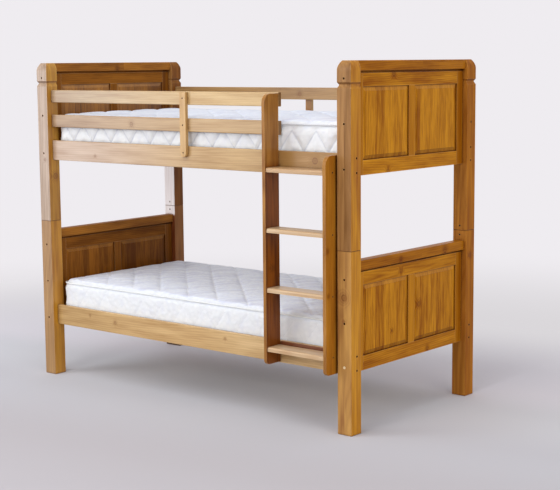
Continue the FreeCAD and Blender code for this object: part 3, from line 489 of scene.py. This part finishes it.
# Faces that look to the right: painted light and shade, and on the guard rails their darker end grain.
SIDE_SHADE_AND_END_GRAIN = {
    "upper_left_front_post": ("#CA962F", "#935A11"),
    "lower_left_back_post": ("#A26C3B", "#744925"),
    "upper_left_back_post": ("#8E5820", "#5E3210"),
    "lower_right_cross_rails": GOLDEN_SIDE,
    "upper_right_cross_rails": GOLDEN_SIDE,
    "front_top_guard_rail": END_GRAIN,
    "front_lower_guard_rail": END_GRAIN,
    "back_top_guard_rail": END_GRAIN,
    "back_lower_guard_rail": END_GRAIN,
    "ladder_left_stile": ("#965516", "#582908"),
    "ladder_right_stile": ("#C88828", "#91510D"),
}
# painted glare: the sheen of the low key, nearly white on these fronts
PAINTED_GLARE_FRONT = ("#F7F1EF", "#DFD3CC")
BACK_POST_FRONT = ("#BA7C2F", "#8D5217")
BACK_GUARD_FRONT = ("#B08A58", "#86633D")
# Painted sheen and shade on the faces that look to the front; the last span of the lower front rail is the painted
# shadow of the ladder.
FRONT_SHEEN_AND_SHADE = {
    "lower_left_front_post": [("#B08752", "#8B6336")],
    "upper_left_front_post": [("#B8A08A", "#90755C")],
    "lower_left_back_post": [("#8A4A28", "#5E2C12"), (*PAINTED_GLARE_FRONT, ("Z", 0.765, 0.785))],
    "upper_left_back_post": [("#B0824A", "#7C4E22"), (*PAINTED_GLARE_FRONT, ("Z", 1.20, 1.12))],
    "lower_right_front_post": [("#C89853", "#976737")],
    "upper_right_front_post": [("#A77B49", "#7B5329")],
    "lower_right_back_post": [BACK_POST_FRONT],
    "upper_right_back_post": [BACK_POST_FRONT],
    "upper_front_side_rail": [("#C9B29C", "#A88A71", ("X", 0.2, -0.8))],
    "lower_front_side_rail": [
        ("#C4A169", "#9D7641", ("X", -0.2, -0.9)),
        ("#D6B683", "#AC8651", ("X", 0.0, 0.5)),
        ("#8A5030", "#653820", ("X", 0.595, 0.605), ("Z", 0.350, 0.357)),
    ],
    "front_top_guard_rail": [("#C1AC8A", "#A0846A", ("X", 0.2, -0.8))],
    "front_lower_guard_rail": [("#B39778", "#917255", ("X", 0.2, -0.8))],
    "back_top_guard_rail": [BACK_GUARD_FRONT],
    "back_lower_guard_rail": [BACK_GUARD_FRONT],
    "guard_battens": [("#B5834D", "#825A2F", ("Y", 0.1, 0.3))],
}
print("kinds of pine:", len(TONES), "and pieces with other fronts:", len(FRONT_SHEEN_AND_SHADE))

# %% [markdown]
# Some boards are darker along a part of their length, or in one of the places where the same node has several.
# On the front rail of the upper bed behind the ladder and on the stiles beside the back posts, this is painted shade.

# %% Dark stretches and knots
DARKER = {
    "lower_left_cap_rail": ("Y", -0.35, 0.40, 0.2),
    "lower_left_cross_rails": ("Y", -0.35, 0.40, 0.2),
    "lower_right_cross_rails": ("Z", 0.49, 0.51, 0.3),
    "upper_right_cross_rails": ("Z", 1.39, 1.41, 0.35),
    "lower_left_panels": ("Y", 0.02, 0.06, 0.45),
    "upper_left_panels": ("Y", -0.1, 0.3, 0.3),
    "upper_right_panels": ("Y", 0.06, 0.02, -0.09),
    # painted shade of the ladder on the rail behind it
    "upper_front_side_rail": ("X", 0.599, 0.601, 0.55),
    "ladder_treads": ("Z", 1.04, 1.06, 0.55),
}
KNOTS = {
    "upper_front_side_rail": [(0.808, -0.4395, 1.213, 0.013), (-0.628, -0.4395, 1.181, 0.006)],
    "front_lower_guard_rail": [(-0.356, -0.4395, 1.349, 0.010)],
    "lower_front_side_rail": [(-0.511, -0.4385, 0.328, 0.008), (-0.70, -0.4385, 0.345, 0.005),
                              (0.252, -0.4385, 0.340, 0.006)],
    "lower_right_cap_rail": [(1.016, -0.071, 0.749, 0.007), (1.016, 0.296, 0.749, 0.012)],
    "lower_right_panels": [(1.005, 0.099, 0.513, 0.011), (1.005, -0.12, 0.42, 0.006)],
    "lower_right_cross_rails": [(1.002, 0.169, 0.290, 0.009), (1.002, -0.05, 0.69, 0.008)],
    "upper_right_cross_rails": [(1.002, -0.154, 1.158, 0.009), (1.002, -0.111, 1.591, 0.010)],
    "lower_right_front_post": [(0.990, -0.4695, 0.620, 0.013), (0.990, -0.4695, 0.513, 0.006)],
    "upper_left_front_post": [(-0.953, -0.4276, 1.063, 0.013), (-0.985, -0.4695, 1.150, 0.007)],
    "upper_left_cap_rail": [(-0.967, 0.05, 1.625, 0.008)],
    "lower_right_back_post": [(1.03, 0.498, 0.703, 0.010)],
    "back_top_guard_rail": [(-0.03, 0.4865, 1.480, 0.010)],
    "ladder_left_stile": [(0.598, -0.4906, 0.719, 0.009)],
    "ladder_right_stile": [(0.942, -0.524, 0.828, 0.007), (0.942, -0.520, 0.628, 0.006)],
}
print("knots:", sum(len(spots) for spots in KNOTS.values()))

# %% [markdown]
# Posts and end frames have much in common from piece to piece, so each has a function. Dark wax lies in the
# joint between the halves of a post. Lines of painted shade lie in the groove of its collar and round each panel,
# where the bevel runs into the groove of the frame. The rails of the left end get less painted shade in their
# corners and a duller wax than those of the right one.

# %% Posts and end frames
JOINT_Z = 0.827  # where the halves of a post meet
COLLAR_Z = 1.5565  # the upper slope of the collar groove
MIDDLE_Y = 0.0335  # the middle of the end frames
PANEL_FOOT = {"lower": 0.341, "upper": 1.218}
PANEL_TALL = 0.322
PANEL_EDGES = ((-0.345, 0.35), (0.009, 0.6), (0.058, 0.35), (0.412, 0.6))  # y and share of painted shade
LINE = 0.006  # half width of the painted shade round a panel


def dress(name, tone, grain, seed, **changes):
    """Gives a piece its own pine, with what the tables say of it."""
    low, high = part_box(name)
    centre = tuple((a + b) / 2 for a, b in zip(low, high))
    for key, table in (("sides", SIDE_SHADE_AND_END_GRAIN), ("fronts", FRONT_SHEEN_AND_SHADE), ("darker", DARKER), ("knots", KNOTS)):
        if name in table:
            changes[key] = table[name]
    *tones, gleam = TONES[tone]
    finish_node(name, waxed_pine("waxed_pine_" + name, grain, seed, tones, centre, gleam=gleam, **changes))


def dress_post(storey, corner, seed):
    """One half of a post. The right front one is glued up from two lengths."""
    halves = {"split": ("X", 0.0385, 0.953), "sorts": 0.6} if corner == "right_front" else {}
    # Wax in the joint of the halves, and painted shade in the collar groove.
    lines = (("Z", JOINT_Z, 0.0030, 0.65), ("Z", COLLAR_Z, 0.0050, 0.55))
    dress(f"{storey}_{corner}_post", corner + "_post", "Z", seed, pith=(0.05, 0.07), lively=2.0, clouds=1.5,
          streaks=1.1, bands=lines, **halves)


def dress_end_frame(storey, end, seed):
    """The cap rail, cross rails, stiles, muntin and panels of an end frame."""
    piece = f"{storey}_{end}_"
    tone = end + "_frame"
    rail = {"lively": 2.5, "streaks": 0.5, "clouds": 1.5, "wax": 0.6 if end == "left" else 1.0}
    dress(piece + "cap_rail", end + "_cap", "Y", seed, split=("Y", 0.52, 0.1), sorts=0.15, **rail)
    dress(piece + "cross_rails", tone, "Y", seed + 0.3, split=("Z", 0.25, 0.0), **rail)
    # Painted shade on the stiles beside the back posts.
    dress(piece + "stiles", tone, "Z", seed + 0.5, split=("Y", 0.43, MIDDLE_Y), sorts=0.1,
          darker=("Y", 0.29, 0.31, 0.25))
    dress(piece + "muntin", tone, "Z", seed + 0.7)
    foot = PANEL_FOOT[storey]
    # Painted shade round each panel, where its bevel runs into the groove of the frame.
    lines = [("Y", place, LINE, amount) for place, amount in PANEL_EDGES]
    lines += [("Z", foot, LINE, 0.5), ("Z", foot + PANEL_TALL, LINE, 0.65)]
    board = piece + "panels" if piece + "panels" in TONES else tone
    dress(piece + "panels", board, "Z", seed + 0.9, split=("Y", 0.071, MIDDLE_Y), sorts=0.45, bands=lines,
          pith=(0.02, 0.11), figure=0.35, drift=0.08, taper=0.06, lively=3.2, fine=1.0, streaks=1.1,
          clouds=1.0, wax=1.1, carved=0.6 if end == "right" else 0.4)


print("wax lines at", JOINT_Z, "and", COLLAR_Z, "m on the posts")

# %% [markdown]
# No two boards come from the same place in a tree. Every piece of the bed gets a seed of its own and the
# direction that its grain was sawn in: up the posts and stiles, along the rails, across the end frames.

# %% Dress the timber
seed = 1.0
for storey in ("lower", "upper"):
    for corner in ("left_front", "left_back", "right_front", "right_back"):
        seed += 1.0
        dress_post(storey, corner, seed)
    for end in ("left", "right"):
        seed += 1.0
        dress_end_frame(storey, end, seed)
    for face in ("front", "back"):
        seed += 1.0
        tone = "upper_rail" if (storey, face) == ("upper", "front") else "rail"
        dress(f"{storey}_{face}_side_rail", tone, "X", seed, lively=2.0, clouds=1.7, figure=0.2)
for name in ("front_top_guard_rail", "front_lower_guard_rail", "back_top_guard_rail", "back_lower_guard_rail"):
    seed += 1.0
    tone = "top_guard" if "_top_" in name else "lower_guard"
    dress(name, tone, "X", seed, figure=0.14, lively=2.0, clouds=1.4)
dress("guard_battens", "batten", "Z", seed + 1.0, split=("Y", 0.5, 0.0))
dress("ladder_left_stile", "ladder", "Z", seed + 2.0, lively=2.5, streaks=1.3, clouds=1.6, below=1.19)
dress("ladder_right_stile", "ladder", "Z", seed + 3.0, lively=2.0, clouds=1.4)
dress("ladder_treads", "tread", "X", seed + 4.0, split=("Z", 0.27, 0.2))
print("waxed pieces:", sum(m.name.startswith("waxed_pine") for m in bpy.data.materials))

# %% [markdown]
# The slats, the ledges that carry them and the bearer under the lower bed are the same pine with little painted
# shade in their corners, paler where planed. The bearer's nearly black tone is painted shade, for where it hangs in
# the dark under the lower bed. Dowels are turned beech: pinkish, even and close-grained.

# %% Bare pine and beech
for storey in ("lower", "upper"):
    seed += 1.0
    dress(f"{storey}_slats", "bare", "Y", seed, split=("X", 0.1357, 0.0), wax=0.7)
    dress(f"{storey}_slat_ledges", "bare", "X", seed + 0.5, split=("Y", 0.5, 0.0), wax=0.6)
dress("lower_cross_bearer", "bearer", "Y", seed + 1.0, wax=0.6)

beech = waxed_pine("turned_beech", "Y", 40.0, ("#D8B48C", "#C39A70"), (0.0, 0.0, 1.48), ring=0.006, wax=0.7)
finish_node("guard_dowels", beech)
print("bare wood and beech ready")

# %% [markdown]
# The bolts, nuts, screws and pins are zinc-plated steel, cloudy and a little uneven, painted nearly black for the
# shade in their holes. The cap over one screw is moulded plastic, cream-coloured, with a satin skin.

# %% Steel and plastic
zinc, tree = new_material("zinc_plated_steel")
place = node(tree, "TexCoord", out="Object")
grit = node(tree, "TexNoise", inputs={"Vector": place, "Scale": 700.0, "Detail": 3.0})
cloud = node(tree, "TexNoise", inputs={"Vector": place, "Scale": 90.0, "Detail": 2.0})
# Painted shade: the steel is nearly black, for the shade in the holes that it sits in.
plating_and_hole_shade = node(tree, "Mix", COLOUR, {0: cloud, 6: "#262424", 7: "#121010"}, 2)
dull = node(tree, "MapRange", inputs={0: grit, 3: 0.28, 4: 0.46})
dents = node(tree, "Bump", inputs={"Strength": 0.2, "Distance": 0.0002, "Height": grit})
surface = {"Base Color": plating_and_hole_shade, "Roughness": dull, "Normal": dents, "Metallic": 1.0}
metal = node(tree, "BsdfPrincipled", inputs=surface)
node(tree, "OutputMaterial", inputs=(metal,))
for name in nodes:
    if name.endswith(("_bolts", "_nuts", "_screws", "_pins")):
        finish_node(name, zinc)

cream, tree = new_material("moulded_cream_plastic")
place = node(tree, "TexCoord", out="Object")
skin = node(tree, "TexNoise", inputs={"Vector": place, "Scale": 600.0, "Detail": 2.0})
tint = node(tree, "Mix", COLOUR, {0: skin, 6: "#EADBB8", 7: "#DCC79C"}, 2)
satin = node(tree, "MapRange", inputs={0: skin, 3: 0.35, 4: 0.48})
dimple = node(tree, "Bump", inputs={"Strength": 0.15, "Distance": 0.0002, "Height": skin})
surface = {"Base Color": tint, "Roughness": satin, "Normal": dimple, "IOR": 1.49}
shell = node(tree, "BsdfPrincipled", inputs=surface)
node(tree, "OutputMaterial", inputs=(shell,))
finish_node("screw_cover_cap", cream)
print("materials:", len(bpy.data.materials))

# %% [markdown]
# A mattress cover is two panels and a border joined by a bound edge. The panels are quilted in diamonds and the
# border in a zigzag, and between the stitched lines the wadding swells up. The cover starts as a box with
# rounded corners, remeshed to an even net of small faces, so that every part of it can move like cloth.

# %% Mattress block
low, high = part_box("lower_mattress")
BED_Y = (low[1] + high[1]) / 2
LONG = high[0] - low[0]
WIDE = high[1] - low[1]
TALL = 0.168
BASE = low[2]
NET = 0.0125
SEAT = 0.010  # height of the lower tape over the bottom, and of the upper one under the top
CORNER = 0.045  # rounding of the corners, seen from above
CLEAR = 0.0005  # kept free over the slats
SLACK = 0.010  # room for the swelling of the sides


def pick_edges(body, wanted):
    """Selects the edges of a body by how far each one climbs."""
    for edge in body.data.edges:
        one, two = (body.data.vertices[i].co for i in edge.vertices)
        edge.select = wanted(abs(one.z - two.z))


bpy.ops.object.select_all(action="DESELECT")
bpy.ops.mesh.primitive_cube_add(size=1.0, location=(0, BED_Y, BASE + TALL / 2))
pad = bpy.context.object
pad.name = "lower_quilted_mattress"
pad.scale = (LONG - SLACK, WIDE - SLACK, TALL - 0.004)
bpy.ops.object.transform_apply(location=True, rotation=True, scale=True)
bpy.ops.object.mode_set(mode="EDIT")
bpy.ops.mesh.select_all(action="DESELECT")
bpy.ops.object.mode_set(mode="OBJECT")
pick_edges(pad, lambda climb: climb > 0.1)
bpy.ops.object.mode_set(mode="EDIT")
bpy.ops.mesh.select_mode(type="EDGE")
bpy.ops.mesh.bevel(offset=CORNER, segments=6)
bpy.ops.object.mode_set(mode="OBJECT")
pick_edges(pad, lambda climb: climb < 0.001)
bpy.ops.object.mode_set(mode="EDIT")
bpy.ops.mesh.bevel(offset=0.016, segments=4)
bpy.ops.object.mode_set(mode="OBJECT")
pad.data.remesh_voxel_size = NET
bpy.ops.object.voxel_remesh()
print("mattress net:", len(pad.data.vertices), "points")

# %% [markdown]
# The stitching is held as plain sums, so that both the shape and the thread can follow it. On the top and
# bottom the lines run at 45 degrees about 14 cm apart, one way pulled tight and the other looser. Round the
# border a zigzag of 14 cm climbs from near the bottom to near the top. Each sum gives the distance from a
# point to the nearest line.

# %% Where the stitches run
PITCH = 0.1375
TIGHT_START = -0.046
LOOSE_START = 0.030
WAVE = 0.140
WAVE_START = 0.579
WAVE_FOOT = 0.037  # lowest point of the zigzag over the bottom
WAVE_RISE = 0.094
WAVE_LEAN = 0.60  # from a height over the slanting line to the distance from it


def to_lines(value, pitch, start):
    """Distance from a value to the nearest of evenly spaced lines."""
    return np.abs((value - start + pitch / 2) % pitch - pitch / 2)


def zigzag(along, height):
    """Distance from a point on the border to the zigzag."""
    rise = 1 - np.abs(((along - WAVE_START) / WAVE * 2) % 2 - 1)
    line = WAVE_FOOT + WAVE_RISE * rise
    return np.abs(height - line) * WAVE_LEAN


def stitching(points, normals):
    """For each point: share of top or bottom, distance to the tight lines, to the loose ones, to the zigzag."""
    x, y, z = points[:, 0], points[:, 1] - BED_Y, points[:, 2] - BASE
    panel = np.clip((np.abs(normals[:, 2]) - 0.45) / 0.35, 0, 1)
    tight = to_lines((x + y) / math.sqrt(2), PITCH, TIGHT_START)
    loose = to_lines((x - y) / math.sqrt(2), PITCH, LOOSE_START)
    border = np.where(np.abs(normals[:, 1]) > np.abs(normals[:, 0]), zigzag(x, z), zigzag(y, z))
    return panel, tight, loose, border


def read_mesh(mesh):
    """The points and normals of a mesh as arrays."""
    arrays = []
    for field in ("co", "normal"):
        flat = np.zeros(len(mesh.vertices) * 3)
        mesh.vertices.foreach_get(field, flat)
        arrays.append(flat.reshape(-1, 3))
    return arrays


def write_mesh(mesh, points):
    """Moves the points of a mesh."""
    mesh.vertices.foreach_set("co", points.astype(np.float32).ravel())
    mesh.update()


points, normals = read_mesh(pad.data)
panel, tight, loose, border = stitching(points, normals)
print("points near a seam:", int((np.minimum(tight, loose) < 0.008).sum()))

# %% [markdown]
# First the wadding: the cover rises between the lines by a few millimetres, the top crowns towards its middle,
# and the sides draw in between the two bound edges. Then the cover becomes cloth. Its stitched points are
# pinned, a little air pressure fills it, and the cloth is cut two percent too large, so that it buckles into
# the small creases of a real quilt. The swelling is capped, so that it keeps clear of the rails.

# %% Fill and settle the cover
TIGHT_PUFF = 0.0070
LOOSE_PUFF = 0.0025
BORDER_PUFF = 0.0060
DRAWN_IN = 0.0035  # how far the sides draw in
CROWN = 0.010
SETTLING_FRAMES = 20
MOST_MOVE = 0.007

height = points[:, 2] - BASE
border_gap = np.minimum(LONG / 2 - np.abs(points[:, 0]), WIDE / 2 - np.abs(points[:, 1] - BED_Y))
inside = 0.12 + 0.88 * np.clip(border_gap / 0.15, 0, 1) ** 1.5
puff = TIGHT_PUFF * (1 - np.exp(-tight / 0.022)) + LOOSE_PUFF * (1 - np.exp(-loose / 0.022))
crown = CROWN * np.clip(border_gap / 0.10, 0, 1) ** 0.25
up = panel * (normals[:, 2] > 0)
between = np.clip(np.minimum(height - SEAT, TALL - SEAT - height) / 0.03, 0, 1)
roll = np.exp(-(((np.minimum(height, TALL - height) - 0.007) / 0.006) ** 2))
swell = (1 - panel) * (BORDER_PUFF * (1 - np.exp(-border / 0.014)) * between - DRAWN_IN) + 0.0030 * roll
points += normals * (up * (inside * puff) + swell)[:, None]
points[:, 2] += up * (crown + CLEAR)
points[:, 2] = np.maximum(points[:, 2], BASE + CLEAR)
write_mesh(pad.data, points)

pinned = np.where(panel > 0.5, np.minimum(tight, loose + 0.004) < 0.007, border < 0.006)
pinned |= (normals[:, 2] < -0.3) | (np.abs(height - (TALL - SEAT)) < 0.008) | (height < SEAT + 0.004)
held = pad.vertex_groups.new(name="stitched")
held.add([int(i) for i in np.flatnonzero(pinned)], 1.0, "REPLACE")
cover = pad.modifiers.new("cover", "CLOTH")
cover.settings.quality = 4
cover.settings.use_pressure = True
cover.settings.uniform_pressure_force = 4.0
cover.settings.shrink_min = -0.02
cover.settings.vertex_group_mass = "stitched"
cover.settings.effector_weights.gravity = 0.0
cover.collision_settings.use_collision = False
before, _ = read_mesh(pad.data)
for step in range(1, SETTLING_FRAMES + 1):
    bpy.context.scene.frame_set(step)
bpy.context.view_layer.objects.active = pad
bpy.ops.object.modifier_apply(modifier="cover")
bpy.context.scene.frame_set(1)
after, _ = read_mesh(pad.data)
move = after - before
far = np.linalg.norm(move, axis=1)
limit = np.where(panel > 0.5, MOST_MOVE * inside, MOST_MOVE)
move *= np.minimum(1.0, limit / np.maximum(far, 1e-9))[:, None]
write_mesh(pad.data, before + move)
print("cover settled, largest move before the cap", round(float(far.max()) * 1000, 1), "mm")

# %% [markdown]
# With the net divided once more, the stitched lines are drawn in sharply and the cloth beside them gathers in
# short puckers that run across the seam. The border of the lower mattress lies flatter than that of the upper
# one, with its zigzag hardly drawn in. The distance to the nearest line and the depth of the folds are kept on
# the mesh, so that the cotton can show its thread there and a painted shade in its folds.

# %% Draw in the seams
TIGHT_DROP = 0.0038
LOOSE_DROP = 0.0012
ZIGZAG_DROP = 0.0034
FOLD_DEPTH = 0.0052
SIDE_INSET = 0.0045  # where the sides of the lower mattress lie, in from the full size
SIDE_CLEAR = ((0, 0.0005), (1, 0.0003))  # axis and room kept from the posts and rails

finer = pad.modifiers.new("finer", "SUBSURF")
finer.levels = 1
finer.render_levels = 1
bpy.context.view_layer.objects.active = pad
bpy.ops.object.modifier_apply(modifier="finer")

points, normals = read_mesh(pad.data)
panel, tight, loose, border = stitching(points, normals)
height = points[:, 2] - BASE
x, y = points[:, 0], points[:, 1] - BED_Y
wide = [noise.noise(((a - b) * 17, (a + b) * 3.2, 3.0)) for a, b in zip(x, y)]
small = [noise.noise(((a - b) * 38, (a + b) * 7, 9.0)) for a, b in zip(x, y)]
pucker = np.array(wide) + 0.4 * np.array(small)
ripple = np.array([noise.noise((a * 34, b * 34, c * 22)) for a, b, c in zip(x, y, height)])
gather = pucker * (0.45 + np.exp(-tight / 0.040))
drop = TIGHT_DROP * np.exp(-((tight / 0.006) ** 2)) + LOOSE_DROP * np.exp(-((loose / 0.005) ** 2))
rim = np.minimum(LONG / 2 - np.abs(x), WIDE / 2 - np.abs(y))
top_move = FOLD_DEPTH * gather * np.clip(rim / 0.12, 0.15, 1) - drop * np.clip(rim / 0.08, 0.25, 1)
top_move += 0.0006 * ripple
side_move = 0.0008 * ripple - ZIGZAG_DROP * np.exp(-((border / 0.0050) ** 2))
up = panel * (normals[:, 2] > 0)
points += normals * (up * top_move + (1 - panel) * side_move)[:, None]
points[:, 2] = np.maximum(points[:, 2], BASE + CLEAR)
for axis, room_kept in SIDE_CLEAR:
    points[:, axis] = np.clip(points[:, axis], low[axis] + room_kept, high[axis] - room_kept)
full_points = points.copy()

inner = np.clip(np.minimum(height - 0.015, TALL - 0.015 - height) / 0.012, 0, 1) * (1 - panel)
for axis, reach, middle in ((0, LONG / 2, 0.0), (1, WIDE / 2, BED_Y)):
    plain = middle + np.sign(points[:, axis] - middle) * (reach - SIDE_INSET)
    facing = np.clip((np.abs(normals[:, axis]) - 0.85) / 0.1, 0, 1)
    flatter = np.where(np.abs(points[:, axis] - plain) < 0.012, 0.75 * inner * facing, 0.0)
    points[:, axis] += flatter * (plain - points[:, axis])
write_mesh(pad.data, points)
full_seam = np.where(panel > 0.5, np.minimum(tight, loose + 0.003), border * 0.8)
seam = np.where(panel > 0.5, full_seam, border + 0.0018)
fold = np.where(panel > 0.5, gather, 0.25 * ripple)
for field, values in (("seam", seam), ("fold", fold)):
    pad.data.attributes.new(field, "FLOAT", "POINT").data.foreach_set("value", values.astype(np.float32))
pad.data.shade_smooth()
print("mattress faces:", len(pad.data.polygons))

# %% [markdown]
# The edge where panel and border meet is bound with a narrow woven tape. It is a soft bead all the way round,
# so a rounded outline is drawn, given a round section as a curve, and turned back into a mesh.

# %% Bound edges
TAPE_INSET = 0.0076
TAPE_ROUND = 0.0036


def edge_tape(name, height):
    """A bead of tape round the mattress at a height above its bottom."""
    bpy.ops.object.select_all(action="DESELECT")
    bpy.ops.mesh.primitive_plane_add(size=1.0, location=(0, BED_Y, BASE + height))
    tape = bpy.context.object
    tape.name = name
    tape.scale = (LONG - 2 * TAPE_INSET, WIDE - 2 * TAPE_INSET, 1.0)
    bpy.ops.object.transform_apply(location=True, rotation=True, scale=True)
    bpy.ops.object.mode_set(mode="EDIT")
    bpy.ops.mesh.select_all(action="SELECT")
    bpy.ops.mesh.bevel(offset=CORNER, segments=8, affect="VERTICES")
    bpy.ops.mesh.delete(type="ONLY_FACE")
    bpy.ops.object.mode_set(mode="OBJECT")
    bpy.ops.object.convert(target="CURVE")
    tape.data.bevel_depth = TAPE_ROUND
    tape.data.bevel_resolution = 3
    bpy.ops.object.convert(target="MESH")
    tape.data.shade_smooth()
    return tape


tapes = [edge_tape("lower_mattress_top_tape", TALL - SEAT), edge_tape("lower_mattress_bottom_tape", SEAT)]
print("tapes:", [len(t.data.polygons) for t in tapes])

# %% [markdown]
# The ticking is white cotton damask, woven with a faint figure. Cotton scatters light in its nap, so it is rough
# with a little sheen and no gloss. Faces that look up are painted a little bluer, for the cool light on the tops.
# The quilting thread is painted grey on the border, as shade in its seams, and white on the top, as light, and the
# folds get a bluish painted shade. The tape is a grey twill, painted paler on the lower mattress, which lightens
# the shade along its bead. The nap is drawn coarser than a real one, so that it shows at this distance.

# %% Cotton and tape
BETWEEN_BEDS = 0.8  # a height over the lower mattress and under the upper one

cotton, tree = new_material("quilted_cotton_damask")
where = node(tree, "TexCoord", out="Object")
figure = node(tree, "TexVoronoi", {"feature": "SMOOTH_F1"}, {"Vector": where, "Scale": 46.0, "Smoothness": 0.6})
nap = node(tree, "TexNoise", inputs={"Vector": where, "Scale": 420.0, "Detail": 3.0})
soft = node(tree, "TexNoise", inputs={"Vector": where, "Scale": 7.0, "Detail": 2.0})
# Painted light: faces that look up get a bluer white and a white thread.
up_facing_painted_light = node(tree, "NewGeometry", out="Normal")
up_facing_painted_light = node(tree, "SeparateXYZ", inputs=(up_facing_painted_light,), out="Z")
up_facing_painted_light = node(tree, "MapRange", inputs=(up_facing_painted_light, 0.4, 0.9))
white = node(tree, "Mix", COLOUR, {0: soft, 6: "#EAECEC", 7: "#E1E3E4"}, 2)
white = node(tree, "Mix", COLOUR, {0: up_facing_painted_light, 6: white, 7: "#F0F6FF"}, 2)
damask = node(tree, "MapRange", inputs=(figure, 0.2, 0.7, 0.0, 0.40))
figured = node(tree, "Mix", COLOUR, {0: up_facing_painted_light, 6: "#DCE1E4", 7: "#D9E1F8"}, 2)
white = node(tree, "Mix", COLOUR, {0: damask, 6: white, 7: figured}, 2)
# Painted shade: a bluish grey in the folds of the cloth.
painted_fold_shade = node(tree, "Attribute", {"attribute_name": "fold"}, out="Fac")
painted_fold_shade = node(tree, "MapRange", SMOOTH, (painted_fold_shade, 0.10, -0.45, 0.0, 0.42))
white = node(tree, "Mix", COLOUR, {0: painted_fold_shade, 6: white, 7: "#C4C8E2"}, 2)
thread = node(tree, "Attribute", {"attribute_name": "seam"}, out="Fac")
thread = node(tree, "MapRange", SMOOTH, (thread, 0.0045, 0.0008))
strength = node(tree, "MapRange", inputs={0: up_facing_painted_light, 3: 0.50, 4: 0.75})
thread = node(tree, "Math", "MULTIPLY", (thread, strength))
# Painted shade and light: the thread is grey on the border and white on the top.
thread_painted_light_and_shade = node(tree, "Mix", COLOUR, {0: up_facing_painted_light, 6: "#B4B8C6", 7: "#FAFBFF"}, 2)
white = node(tree, "Mix", COLOUR, {0: thread, 6: white, 7: thread_painted_light_and_shade}, 2)
relief = node(tree, "Math", "MULTIPLY_ADD", (figure, 3.0, nap))
weave = node(tree, "Bump", inputs={"Strength": 0.6, "Distance": 0.0012, "Height": relief})
rough = node(tree, "MapRange", inputs={0: nap, 3: 0.48, 4: 0.66})
surface = {"Base Color": white, "Roughness": rough, "Normal": weave, "Specular IOR Level": 0.4}
cloth = node(tree, "BsdfPrincipled", inputs={**surface, "Sheen Weight": 0.15, "Sheen Roughness": 0.5})
node(tree, "OutputMaterial", inputs=(cloth,))

twill, tree = new_material("woven_grey_tape")
where = node(tree, "TexCoord", out="Object")
ribs = {"Vector": where, "Scale": 240.0, "Distortion": 1.0}
ribs = node(tree, "TexWave", {"bands_direction": "DIAGONAL"}, ribs)
grey = node(tree, "Mix", COLOUR, {0: ribs, 6: "#E2E4E8", 7: "#BFC2C8"}, 2)
# Painted light: the tape of the lower mattress is paler, which lightens the shade along its bead.
pale = node(tree, "Mix", COLOUR, {0: ribs, 6: "#F4F6F5", 7: "#E2E6E4"}, 2)
upper = node(tree, "SeparateXYZ", inputs=(where,), out="Z")
upper = node(tree, "Math", "GREATER_THAN", (upper, BETWEEN_BEDS))
grey = node(tree, "Mix", COLOUR, {0: upper, 6: pale, 7: grey}, 2)
ridge = node(tree, "Bump", inputs={"Strength": 0.4, "Distance": 0.0005, "Height": ribs})
band = node(tree, "BsdfPrincipled", inputs={"Base Color": grey, "Roughness": 0.8, "Normal": ridge})
node(tree, "OutputMaterial", inputs=(band,))

for piece, cloth in [(pad, cotton)] + [(tape, twill) for tape in tapes]:
    piece.data.materials.clear()
    piece.data.materials.append(cloth)
print("cotton and tape ready")

# %% [markdown]
# Both beds have the same mattress, so it is made once and copied up, with a mesh of its own that keeps the full
# border. Each one rides on its own body, because a mattress lifts off its slats, and stands for the plain block
# of the frame.

# %% Two mattresses
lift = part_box("upper_mattress")[0][2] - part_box("lower_mattress")[0][2]
for source in [pad] + tapes:
    twin = source.copy()
    twin.data = source.data.copy()
    twin.name = source.name.replace("lower", "upper")
    if source is pad:
        write_mesh(twin.data, full_points)
        twin.data.attributes["seam"].data.foreach_set("value", full_seam.astype(np.float32))
    twin.data.transform(Matrix.Translation((0, 0, lift)))
    bpy.context.scene.collection.objects.link(twin)
    for piece, storey in ((source, "lower"), (twin, "upper")):
        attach(piece, f"{storey}_mattress")
        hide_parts(f"{storey}_mattress")
